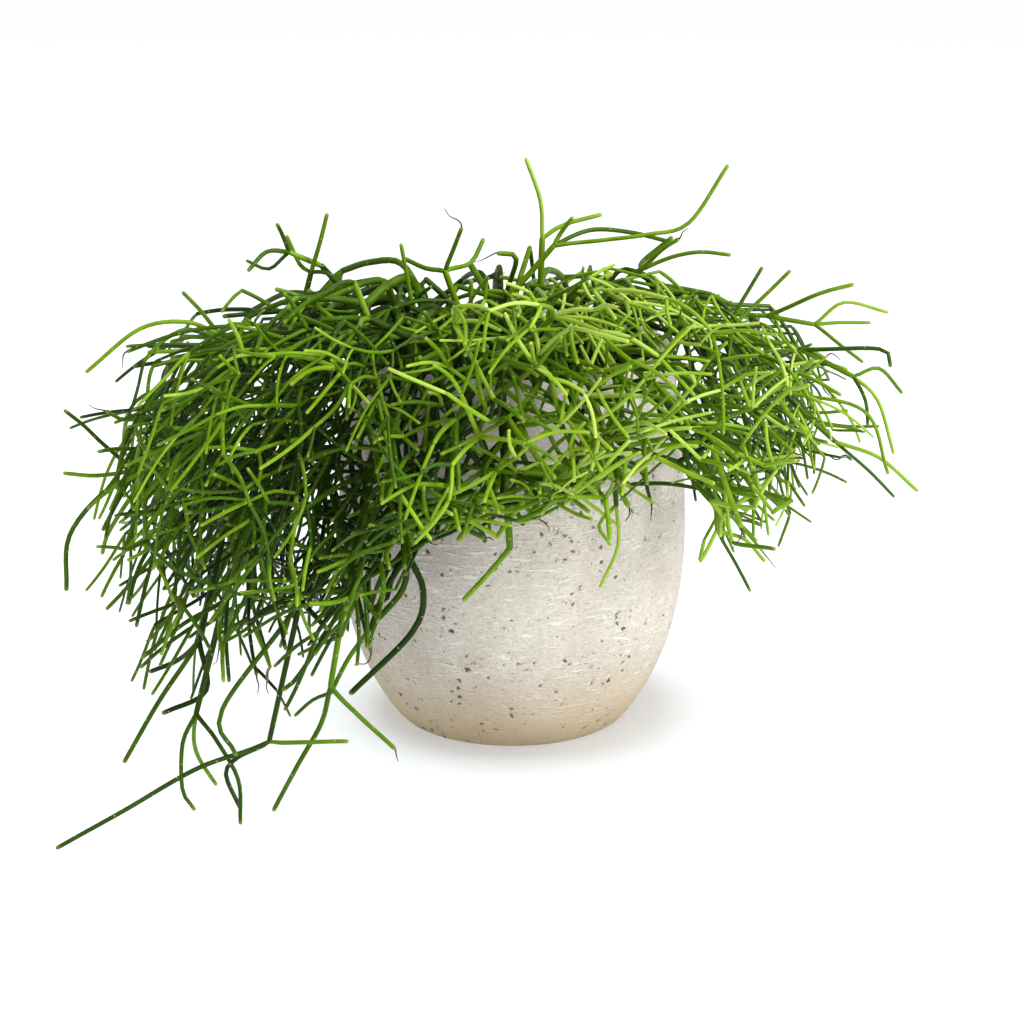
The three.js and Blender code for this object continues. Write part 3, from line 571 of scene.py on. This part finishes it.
# Fine growth goes on from the stems of the frame: more stems spring from the ends that are still
# free, and from joints with room left, wherever they stay clear of all others. Seen from the front
# the foliage is full inside one line, and beyond it stems stand out one by one, up to an outline.
view_distance = 1400
view_pitch = math.radians(17)
view_aim = 103
outline = [
    (-211, 76), (-181, 96), (-150, 112), (-124, 126), (-84, 122), (-60, 112), (-16, 116), (24, 136),
    (70, 140), (110, 125), (140, 111), (170, 103), (188, 88), (195, 60), (199, 18), (180, 12),
    (159, -4), (142, -18), (122, -29), (108, -22), (94, 0), (84, 18), (72, -8), (54, -20), (42, -8),
    (22, 2), (4, -8), (-16, -16), (-36, -10), (-48, -28), (-58, -52), (-70, -72), (-86, -104),
    (-106, -139), (-136, -154), (-161, -154), (-186, -119), (-196, -84), (-211, -44), (-221, -20),
    (-221, 50),
]
full = [
    (-174, 18), (-170, 42), (-158, 64), (-140, 77), (-116, 84), (-91, 85), (-56, 80), (-31, 84),
    (-11, 86), (9, 92), (29, 97), (64, 99), (84, 97), (96, 93), (117, 87), (132, 82), (143, 66),
    (144, 50), (136, 36), (127, 26), (117, 16), (106, 14), (94, 24), (84, 44), (66, 43), (54, 25),
    (42, 14), (24, 11), (4, 5), (-13, -1), (-37, -4), (-48, -8), (-58, -16), (-73, -26), (-89, -37),
    (-106, -43), (-136, -40), (-152, -30), (-162, -18), (-170, -5), (-174, 6),
]
stand_out = {"top": 7, "side": 10, "trail": 16}
top_from = 85
trail_from = -40
boldest = 4
least_corner, most_corner = (np.array(corner) / MM for corner in cad_box)
heart = np.array((0, 0, 165))
heart_fall = 0.4
cell = 6
mark_step = 2
air = 0.25
join_length = 6
least_height = 2.1
askew = (0.3, -0.7, 0.64)
tries_each = 16
shorter_each_try = 0.02
same_way = 0.88
thinner = (0.8, 0.95)
least_radius = 0.85
nearby = [(i, j, k) for i in (-1, 0, 1) for j in (-1, 0, 1) for k in (-1, 0, 1)]
chance = random.Random(21)
marks = {}


def seen(point):
    """Where a point is seen from the front, as x and height above the aim."""
    rise = point[2] - view_aim
    depth = view_distance + point[1] * math.cos(view_pitch) - rise * math.sin(view_pitch)
    return (point[0] * view_distance / depth,
            (point[1] * math.sin(view_pitch) + rise * math.cos(view_pitch)) * view_distance / depth)


def is_inside(line, x, y):
    """Whether a place lies inside a closed line."""
    inside = False
    for (x1, y1), (x2, y2) in zip(line, line[1:] + line[:1]):
        if (y1 > y) != (y2 > y) and x < x1 + (x2 - x1) * (y - y1) / (y2 - y1):
            inside = not inside
    return inside


def beyond(x, y):
    """How far a place lies beyond the full foliage, in mean distances that stems stand out."""
    if is_inside(full, x, y):
        return 0
    gaps = []
    for (x1, y1), (x2, y2) in zip(full, full[1:] + full[:1]):
        dx, dy = x2 - x1, y2 - y1
        share = min(max(((x - x1) * dx + (y - y1) * dy) / (dx * dx + dy * dy), 0), 1)
        gaps.append(math.hypot(x1 + dx * share - x, y1 + dy * share - y))
    return min(gaps) / stand_out["top" if y > top_from else "trail" if y < trail_from else "side"]


def drift_at(point):
    """The way that stems tend to turn: away from the heart of the plant, and a little down."""
    away = point - heart
    way = away / np.linalg.norm(away) - np.array((0, 0, heart_fall))
    return way / np.linalg.norm(way)


def along_line(points):
    """Places along a line of points, close enough together to test for clearance."""
    found = [points[0]]
    for start, end in zip(points, points[1:]):
        count = math.ceil(np.linalg.norm(end - start) / mark_step)
        found += [start + (end - start) * k / count for k in range(1, count + 1)]
    return found


def leave_marks(stem):
    """Notes where a stem runs, cell by cell, for the test of clearance."""
    for place in along_line(stem.points):
        key = tuple(int(c // cell) for c in place)
        marks.setdefault(key, []).append((place[0], place[1], place[2], stem.radius, stem))


def clear_of_pot(place, radius):
    """Whether a stem of this radius is clear of the surface below, the pot and the soil here."""
    room = radius + air
    if place[2] < least_height:
        return False
    if place[2] > pot_height + room:
        return True
    out = math.hypot(place[0], place[1])
    wall = pot_radius(min(place[2], pot_height))
    return out > wall + room or (out < wall - pot_wall - room and place[2] > soil_top + room + 1)


def is_clear(points, radius, parent):
    """A stem keeps off the pot and all other stems, but starts among those of its own joint."""
    start = points[0]
    for place in along_line(points)[1:]:
        away = np.linalg.norm(place - start) > join_length
        if away and not clear_of_pot(place, radius):
            return False
        px, py, pz = place
        cx, cy, cz = (int(c // cell) for c in place)
        for i, j, k in nearby:
            for x, y, z, other, owner in marks.get((cx + i, cy + j, cz + k), ()):
                least = radius + other + air
                if (x - px) ** 2 + (y - py) ** 2 + (z - pz) ** 2 > least * least:
                    continue
                if away or not (owner is parent or owner.parent is parent):
                    return False
    return True


def sprout(parent, count, length, spread, sag, drift, at=-1):
    """Up to this many new stems from a point of a stem. Each is drawn again until it is clear."""
    heading = parent.heading(at)
    side = np.cross(heading, askew)
    side /= np.linalg.norm(side)
    across = np.cross(heading, side)
    start = parent.points[at]
    turned = drift_at(start) * drift
    grown = []
    for _ in range(count):
        boldness = min(chance.expovariate(1), boldest)
        for tries in range(tries_each):
            tilt = math.radians(chance.uniform(*spread))
            turn = chance.uniform(0, 2 * math.pi)
            way = heading * math.cos(tilt)
            way = way + (side * math.cos(turn) + across * math.sin(turn)) * math.sin(tilt)
            way = way * (1 - drift) + turned
            way /= np.linalg.norm(way)
            reach = chance.uniform(*length) * (1 - tries * shorter_each_try)
            drop = chance.uniform(*sag)
            points = [start + way * reach * t - np.array((0, 0, drop * reach * t * t))
                      for t in (0, 0.5, 1)]
            ways = [kid.points[1] - kid.points[0] for kid in parent.kids]
            if any(way @ w > same_way * np.linalg.norm(w) for w in ways):
                continue
            if (points[2] < least_corner).any() or (points[2] > most_corner).any():
                continue
            if not is_inside(outline, *seen(points[1])) or not is_inside(outline, *seen(points[2])):
                continue
            if beyond(*seen(points[2])) > boldness:
                continue
            radius = max(parent.radius * chance.uniform(*thinner), least_radius)
            if is_clear(points, radius, parent):
                stem = Stem(points, radius, parent, at)
                leave_marks(stem)
                grown.append(stem)
                break
    return grown


# How new stems grow, region by region: how long they are, how many degrees they spread from the
# stem they grow from, how far they sag, and how much they drift outwards. Shoots stand up from the
# bends of the crown, and filler grows from the lower bends of the older stems.
habits = {
    "crown": {"length": (18, 40), "spread": (16, 60), "sag": (-0.3, 0.2), "drift": 0.06},
    "front": {"length": (18, 36), "spread": (20, 62), "sag": (-0.15, 0.35), "drift": 0.14},
    "left": {"length": (20, 42), "spread": (20, 62), "sag": (-0.15, 0.3), "drift": 0.24},
    "right": {"length": (18, 40), "spread": (24, 70), "sag": (-0.15, 0.3), "drift": 0.2},
    "back": {"length": (20, 40), "spread": (18, 54), "sag": (0.0, 0.35), "drift": 0.28},
}
shoot = {"length": (16, 34), "spread": (30, 75), "sag": (-0.6, -0.1), "drift": 0.15}
shoots_from = 188
filler = {"length": (12, 26), "spread": (30, 75), "sag": (-0.1, 0.3), "drift": 0.2}
filler_depth = 4
later_share = 0.45


def habit_of(node):
    """Where a spray grows, as far as its name or its slot tells."""
    for place in ("front", "right", "back"):
        if place in node and stem_slots[node] != "stem_mid":
            return place
    return {"stem_mid": "crown", "stem_dark": "left", "stem_light": "front"}[stem_slots[node]]


for stems in sprays.values():
    for stem in stems:
        leave_marks(stem)
for name, stems in sprays.items():
    habit = habits[habit_of(name)]
    fresh = []
    for stem in list(stems):
        if stem.depth > 0 and len(stem.kids) < 3:
            fresh += sprout(stem, 1 if stem.kids else 2, **habit)
        for i in range(2, len(stem.points) - 1):
            if stem.points[i][2] > shoots_from:
                fresh += sprout(stem, 1, **shoot, at=i)
            elif stem.depth < filler_depth:
                fresh += sprout(stem, 1, **filler, at=i)
    later = [twig for stem in fresh if chance.random() < later_share
             for twig in sprout(stem, 2, **habit)]
    stems += fresh + later


# Each stem is a smooth round rod that leaves its joint through a slight neck, bends a little, and
# ends blunt. The neck and the end are pairs of a distance and a share of the girth. The girths are
# shares of the solid's radius, by region and by how many joints lie between a stem and the soil.
line_step = 4.5
follow = 0.2
neck = ((0.0, 0.72), (1.2, 0.86), (3.2, 1.0))
neck_end = 3.3
neck_share = 0.4
blunt_end = ((0.0, 0.97), (0.45, 0.86), (0.8, 0.58), (0.98, 0.2))
taper = 0.12
bow_share = (0.015, 0.065)
most_bow = 2.2
tube_sides = 8
girths = {"crown": 0.88, "front": 1.16, "left": 0.96, "right": 0.78, "back": 0.9}
girth_by_depth = (1.3, 1.24, 1.1, 1.0, 0.96, 0.93, 0.9)
girth_range = (0.86, 1.06)
sector = math.radians(15)
bud_step = 6.5
bud_turn = 2.4


def smooth_line(stem):
    """A curve through the points of a stem. It turns off smoothly from its parent stem."""
    points = stem.points
    found = [points[0]]
    last = len(points) - 1
    for i in range(last):
        leave = (points[i + 1] - points[max(i - 1, 0)]) / (2 if i else 1)
        arrive = (points[min(i + 2, last)] - points[i]) / (2 if i + 1 < last else 1)
        span = np.linalg.norm(points[i + 1] - points[i])
        if i == 0 and stem.parent:
            leave = leave * (1 - follow) + stem.came_along * span * follow
        steps = max(3, math.ceil(span / line_step))
        for k in range(1, steps + 1):
            t = k / steps
            found.append(points[i] * (2 * t**3 - 3 * t**2 + 1) + leave * (t**3 - 2 * t**2 + t)
                         + points[i + 1] * (3 * t**2 - 2 * t**3) + arrive * (t**3 - t**2))
    return np.array(found)


def rod(stem, girth, dice):
    """The line of a stem with its neck, its bow and its blunt end, the radii, and how far along."""
    line = smooth_line(stem)
    steps = np.linalg.norm(np.diff(line, axis=0), axis=1)
    along = np.concatenate([[0], np.cumsum(steps)])
    length = along[-1]
    if len(stem.points) == 2 or stem.depth > 3:
        swing = np.array([dice.gauss(0, 1), dice.gauss(0, 1), dice.gauss(0.5, 1)])
        swing -= stem.heading() * (swing @ stem.heading())
        bow = min(dice.uniform(*bow_share) * length, most_bow)
        line += np.outer(np.sin(along / length * math.pi), swing / np.linalg.norm(swing) * bow)
    first_way = (line[1] - line[0]) / steps[0]
    rows = [(line[0] + first_way * d, girth * share, d) for d, share in neck
            if d < length * neck_share and d < steps[0]]
    rows += [(point, girth * (1 - taper * a / length), a)
             for point, a in zip(line[1:-1], along[1:-1]) if a > neck_end]
    last_way = (line[-1] - line[-2]) / steps[-1]
    end = girth * (1 - taper)
    rows += [(line[-1] + last_way * end * d, end * share, length + end * d)
             for d, share in blunt_end]
    return tuple(zip(*rows))


def place_in_mass(stem):
    """The direction of a stem from the heart of the plant, in sectors, and its distance."""
    way = (stem.points[0] + stem.points[-1]) / 2 - heart
    turn = math.atan2(way[1], way[0]) / sector
    rise = math.atan2(way[2], math.hypot(way[0], way[1])) / sector
    return (round(turn), round(rise)), np.linalg.norm(way)


def share_of(value, start, end):
    """How far a value has come from a start to an end, 0 to 1."""
    return min(max((value - start) / (end - start), 0), 1)


skin = {}
for stems in sprays.values():
    for stem in stems:
        direction, out = place_in_mass(stem)
        skin.setdefault(direction, []).append(out)
skin = {direction: np.percentile(outs, 80) for direction, outs in skin.items()}


def tone_and_painted_light_of(stem, dice):
    """How light a stem's green is. Old wood is darker and young stems lighter, the far right is a
    little darker, and each stem varies at random. The rest is painted light and shade: darker at
    the left, deep inside the mass, at the back, low down and near the pot's wall, and lighter at
    the right, on top of the crown, in front, at the outer left and where stems stand out."""
    x, y, z = stem.points[-1]
    # Painted light and shade: stems are lighter towards the lamp at the right and darker deep
    # inside the mass.
    lit = share_of(x, -75, 35)
    direction, out = place_in_mass(stem)
    painted_shade_inside = share_of(1 - out / skin[direction], 0, 0.4) * (1 - 0.5 * share_of(z, 180, 215))
    tone = 0.2 + 0.28 * lit - (0.38 + 0.1 * lit) * painted_shade_inside
    tone += 0.22 * (share_of(stem.depth, 0, 6) - 0.5)
    # Painted light on top of the crown, and painted shade low down.
    tone += (0.2 - 0.09 * lit) * share_of(z, 170, 235) - 0.13 * share_of(z, 120, 40)
    # A little darker at the far right.
    tone -= 0.08 * share_of(x, 60, 115)
    # Painted shade near the pot's wall and at the back; painted light in front, at the outer left
    # and on stems that stand out.
    tone -= 0.14 * (1 - lit) * share_of(math.hypot(x, y), 140, 105) * share_of(z, 120, 90)
    tone += 0.18 * lit * share_of(y, -40, -100) - 0.1 * share_of(y, 20, 100)
    tone += 0.1 * (1 - lit) * share_of(out, 150, 205)
    tone += 0.07 * min(beyond(*seen(stem.points[-1])), 1)
    return max(tone + dice.uniform(-0.3, 0.3), 0.05)


def lines_piece(name, lines, values):
    """An object of lines of points, with named values for every point."""
    points, edges = [], []
    for line in lines:
        first = len(points)
        points += [tuple(point * MM) for point in line]
        edges += [(first + i, first + i + 1) for i in range(len(line) - 1)]
    mesh = bpy.data.meshes.new(name)
    mesh.from_pydata(points, edges, [])
    for label, numbers in values.items():
        mesh.attributes.new(label, "FLOAT", "POINT").data.foreach_set("value", numbers)
    return placed(name, mesh)


def stem_lines(node, stems, seed):
    """All stems of a spray as lines that carry their thickness, tone with its painted light and
    shade, and place on the stem.
    """
    dice = random.Random(seed)
    place = habit_of(node)
    lines = []
    values = {"thickness": [], "tone": [], "along": [], "reach": [], "free": []}
    for stem in stems:
        girth = stem.radius * girths[place] * dice.uniform(*girth_range)
        girth *= girth_by_depth[min(stem.depth, len(girth_by_depth) - 1)]
        line, radii, along = rod(stem, girth, dice)
        lines.append(line)
        values["thickness"] += [radius * MM for radius in radii]
        values["tone"] += [tone_and_painted_light_of(stem, dice)] * len(line)
        values["along"] += along
        values["reach"] += [along[-1] - a for a in along]
        values["free"] += [0.0 if stem.kids else 1.0] * len(line)
    return lines_piece(node.replace("spray", "stems"), lines, values)


def tube_tree():
    """Draws a round tube along each line, as thick as the line says."""
    tree, given, made = new_group("round stems", {"Sides": "NodeSocketInt",
                                                  "Material": "NodeSocketMaterial"})
    lines = add(tree, "GeometryNodeMeshToCurve", {"Mesh": given.outputs[0]})
    thick = add(tree, "GeometryNodeInputNamedAttribute", {"Name": "thickness"}, data_type="FLOAT")
    ring = add(tree, "GeometryNodeCurvePrimitiveCircle", {"Resolution": given.outputs["Sides"],
                                                          "Radius": 1.0})
    corner = add(tree, "GeometryNodeInputPosition")
    marked = add(tree, "GeometryNodeStoreNamedAttribute",
                 {"Geometry": ring.outputs[0], "Name": "around", "Value": corner.outputs[0]},
                 data_type="FLOAT_VECTOR", domain="POINT")
    tube = add(tree, "GeometryNodeCurveToMesh", {"Curve": lines.outputs[0],
                                                 "Profile Curve": marked.outputs[0],
                                                 "Scale": thick.outputs[0], "Fill Caps": True})
    smooth = add(tree, "GeometryNodeSetShadeSmooth", {"Geometry": tube.outputs[0]})
    return end_group(tree, given, made, smooth.outputs[0])


def living_stem():
    """Living stem with a thin wax bloom: soft gloss, pale tips, and a pale spot at each bud. Its
    green follows the tone, which carries painted light and shade.
    """
    material, tree, shader = new_material("waxy living stem")
    shader.inputs["IOR"].default_value = 1.42
    shader.inputs["Specular IOR Level"].default_value = 0.15
    tone, along, reach, free, around = (
        add(tree, "ShaderNodeAttribute", attribute_name=name).outputs[output]
        for name, output in (("tone", "Fac"), ("along", "Fac"), ("reach", "Fac"),
                             ("free", "Fac"), ("around", "Vector")))
    place = object_place(tree)
    patchy = add(tree, "ShaderNodeTexNoise", {"Vector": place, "Scale": 1 / 9, "Detail": 3.0})
    varied = add(tree, "ShaderNodeMath", {0: patchy.outputs[0], 1: 0.3, 2: tone},
                 operation="MULTIPLY_ADD")
    shade = add(tree, "ShaderNodeMath", {0: varied.outputs[0], 1: 0.15}, operation="SUBTRACT")
    # The green follows the tone, which holds painted light and shade as well as each stem's own
    # tone.
    green = add(tree, "ShaderNodeValToRGB", {0: shade.outputs[0]})
    set_stops(green, (0.05, "#203705"), (0.28, "#3A5B05"), (0.48, "#557A08"), (0.64, "#6E9410"),
              (0.8, "#8FB42E"), (0.95, "#B2CD58"))

    tip = add(tree, "ShaderNodeMapRange", {0: reach, 1: 3.0, 2: 0.3, 3: 0.0, 4: 0.24},
              interpolation_type="SMOOTHSTEP")
    tip_share = add(tree, "ShaderNodeMath", {0: tip.outputs[0], 1: free}, operation="MULTIPLY")
    tipped = add(tree, "ShaderNodeMix", {0: tip_share.outputs[0], 6: green.outputs[0],
                                         7: srgb("#C3CB62")}, data_type="RGBA")
    joint = add(tree, "ShaderNodeMapRange", {0: along, 1: 2.2, 2: 0.6, 3: 0.0, 4: 0.5},
                interpolation_type="SMOOTHSTEP")
    jointed = add(tree, "ShaderNodeMix", {0: joint.outputs[0], 6: tipped.outputs[2],
                                          7: srgb("#3F5A1B")}, data_type="RGBA")

    # The buds sit 6.5 mm apart along the stem, each turned by the golden angle from the last.
    counted = add(tree, "ShaderNodeMath", {0: along, 1: 1 / bud_step}, operation="MULTIPLY")
    number = add(tree, "ShaderNodeMath", {0: counted.outputs[0]}, operation="ROUND")
    ahead_of = add(tree, "ShaderNodeMath", {0: number.outputs[0], 1: -bud_step, 2: along},
                   operation="MULTIPLY_ADD")
    golden = add(tree, "ShaderNodeMath", {0: number.outputs[0], 1: bud_turn}, operation="MULTIPLY")
    bud_x = add(tree, "ShaderNodeMath", {0: golden.outputs[0]}, operation="COSINE")
    bud_y = add(tree, "ShaderNodeMath", {0: golden.outputs[0]}, operation="SINE")
    bud = add(tree, "ShaderNodeCombineXYZ", {0: bud_x.outputs[0], 1: bud_y.outputs[0]})
    apart = add(tree, "ShaderNodeVectorMath", {0: around, 1: bud.outputs[0]}, operation="DISTANCE")
    flat = add(tree, "ShaderNodeCombineXYZ", {0: apart.outputs[1], 1: ahead_of.outputs[0]})
    far = add(tree, "ShaderNodeVectorMath", {0: flat.outputs[0]}, operation="LENGTH")
    dot = add(tree, "ShaderNodeMapRange", {0: far.outputs[1], 1: 0.55, 2: 0.25, 3: 0.0, 4: 1.0},
              interpolation_type="SMOOTHSTEP")
    dot_share = add(tree, "ShaderNodeMath", {0: dot.outputs[0], 1: 0.5}, operation="MULTIPLY")
    budded = add(tree, "ShaderNodeMix", {0: dot_share.outputs[0], 6: jointed.outputs[2],
                                         7: srgb("#B9C08A")}, data_type="RGBA")
    tree.links.new(budded.outputs[2], shader.inputs["Base Color"])

    sheen = add(tree, "ShaderNodeMapRange", {0: patchy.outputs[0], 1: 0.3, 2: 0.7, 3: 0.28,
                                             4: 0.44})
    tree.links.new(sheen.outputs[0], shader.inputs["Roughness"])
    bloom = add(tree, "ShaderNodeTexNoise", {"Vector": place, "Scale": 1 / 1.4, "Detail": 2.0})
    lift = add(tree, "ShaderNodeMath", {0: bloom.outputs[0], 1: 0.35, 2: dot.outputs[0]},
               operation="MULTIPLY_ADD")
    bump = add(tree, "ShaderNodeBump", {"Height": lift.outputs[0], "Distance": 0.18 * MM,
                                        "Strength": 0.6})
    tree.links.new(bump.outputs[0], shader.inputs["Normal"])
    return material


stem_material = living_stem()
round_stems = tube_tree()
for seed, (node, stems) in enumerate(sprays.items()):
    tubes = stem_lines(node, stems, seed)
    through(tubes, round_stems, {"Sides": tube_sides, "Material": stem_material})
    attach(tubes, "root")
    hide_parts(node)


# Dried threads hang from some of the tips: withered flower remains, thin, curled and dark brown.
thread_count = 40
thread_sides = 5
thread_radius = 0.44
thread_taper = 0.6
thread_step = 1.1
thread_steps = (6, 12)
thread_bend = 0.24
thread_sag = 0.1


def thread_line(stem, dice):
    """A curled line that goes on from the tip of a stem, and the radius along it."""
    way = stem.heading()
    place = stem.points[-1] + way * stem.radius * 0.6
    bend = np.array([dice.gauss(0, 1) for _ in range(3)])
    line = [place]
    steps = dice.randint(*thread_steps)
    for _ in range(steps):
        bend = bend * 0.75 + np.array([dice.gauss(0, 1) for _ in range(3)]) * 0.5
        way = way + bend * thread_bend - np.array((0, 0, thread_sag))
        way = way / np.linalg.norm(way)
        place = place + way * thread_step
        line.append(place)
    return line, [thread_radius * (1 - thread_taper * i / steps) for i in range(steps + 1)]


def dry_thread():
    """Withered tissue: dark red-brown and matt."""
    material, tree, shader = new_material("withered flower thread")
    shader.inputs["Roughness"].default_value = 0.8
    spot = add(tree, "ShaderNodeTexCoord")
    mixed = add(tree, "ShaderNodeTexNoise", {"Vector": spot.outputs["Object"], "Scale": 400.0})
    tone = add(tree, "ShaderNodeValToRGB", {0: mixed.outputs[0]})
    set_stops(tone, (0.35, "#24150F"), (0.65, "#5C3E2B"))
    tree.links.new(tone.outputs[0], shader.inputs["Base Color"])
    return material


def thread_lines():
    """Threads on free tips that stand out and don't lie far back, as lines for the tubes."""
    dice = random.Random(8)
    tips = [stem for stems in sprays.values() for stem in stems
            if not stem.kids and stem.points[-1][1] < 30 and beyond(*seen(stem.points[-1])) > 0.3]
    lines, thickness = [], []
    for stem in dice.sample(tips, thread_count):
        line, radii = thread_line(stem, dice)
        if (np.min(line, 0) > least_corner + 1).all() and (np.max(line, 0) < most_corner - 1).all():
            lines.append(line)
            thickness += [radius * MM for radius in radii]
    return lines_piece("dried_threads", lines, {"thickness": thickness})


threads = thread_lines()
through(threads, round_stems, {"Sides": thread_sides, "Material": dry_thread()})
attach(threads, "root")


# The surface it stands on: plain, pale and matt, wide enough to fill the view from every side.
floor_half = 80.0
floor_mesh = bpy.data.meshes.new("pale_floor")
floor_mesh.from_pydata([(x * floor_half, y * floor_half, 0)
                        for x, y in ((-1, -1), (1, -1), (1, 1), (-1, 1))], [], [(0, 1, 2, 3)])
floor_sheet = placed("pale_floor", floor_mesh)
floor_paint, _, floor_shader = new_material("matt white card")
floor_shader.inputs["Base Color"].default_value = srgb("#EFF4FC")
floor_shader.inputs["Roughness"].default_value = 0.9
floor_mesh.materials.append(floor_paint)


# Light: a soft lamp to the right of the camera, in a bright warm white room. The floor has lamps of
# its own: nothing shades the first, which keeps it white, and only the pot shades the other two, so
# that a soft shade lies at its foot.
def soft_lamp(name, place, aim, size, power):
    """A square soft lamp that faces a point."""
    lamp = bpy.data.lights.new(name, "AREA")
    lamp.size = size
    lamp.energy = power
    stand = placed(name, lamp)
    stand.location = place
    way = np.array(aim) - np.array(place)
    stand.rotation_euler = (math.atan2(math.hypot(way[0], way[1]), -way[2]), 0,
                            math.atan2(-way[0], way[1]))
    return stand


def sky_lamp(name, strength):
    """A broad even light from high above, a little from the left."""
    lamp = bpy.data.lights.new(name, "SUN")
    lamp.energy = strength
    lamp.angle = 0.9
    stand = placed(name, lamp)
    stand.location = (0, 0, 3)
    stand.rotation_euler = (0, -0.09, 0)
    return stand


key_lamp = soft_lamp("key_lamp", (2.0, -1.5, 2.2), (0, 0, 0.15), 1.3, 123)
floor_lamp = sky_lamp("floor_lamp", 1.26)
wide_lamp = sky_lamp("wide_lamp", 0.22)
shade_lamp = soft_lamp("shade_lamp", (-0.15, 0, 1.6), (0, 0, 0), 0.9, 17)
key_lamp.data.color = (0.98, 0.99, 1)
only_floor = bpy.data.collections.new("only the floor")
only_floor.objects.link(floor_sheet)
only_pot = bpy.data.collections.new("only the pot")
only_pot.objects.link(pot)
for lamp, blockers in ((floor_lamp, only_floor), (wide_lamp, only_pot), (shade_lamp, only_pot)):
    lamp.light_linking.receiver_collection = only_floor
    lamp.light_linking.blocker_collection = blockers
all_but_floor = bpy.data.collections.new("all but the floor")
all_but_floor.objects.link(floor_sheet)
all_but_floor.collection_objects[0].light_linking.link_state = "EXCLUDE"
key_lamp.light_linking.receiver_collection = all_but_floor
room = bpy.data.worlds.new("pale room")
room.use_nodes = True
backdrop = room.node_tree.nodes["Background"].inputs
backdrop["Color"].default_value = (1, 0.945, 0.845, 1)
backdrop["Strength"].default_value = 0.64
bpy.context.scene.world = room
bpy.context.scene.view_settings.view_transform = "Standard"


# The camera: in front, 17 degrees above the level, 1.4 m from a point just above the belly.
lens = bpy.data.cameras.new("camera")
lens.sensor_width = 36
lens.lens = 98.4
camera = placed("camera", lens)
camera.location = (0, -view_distance * MM * math.cos(view_pitch),
                   view_aim * MM + view_distance * MM * math.sin(view_pitch))
camera.rotation_euler = (math.radians(90) - view_pitch, 0, 0)
bpy.context.scene.camera = camera
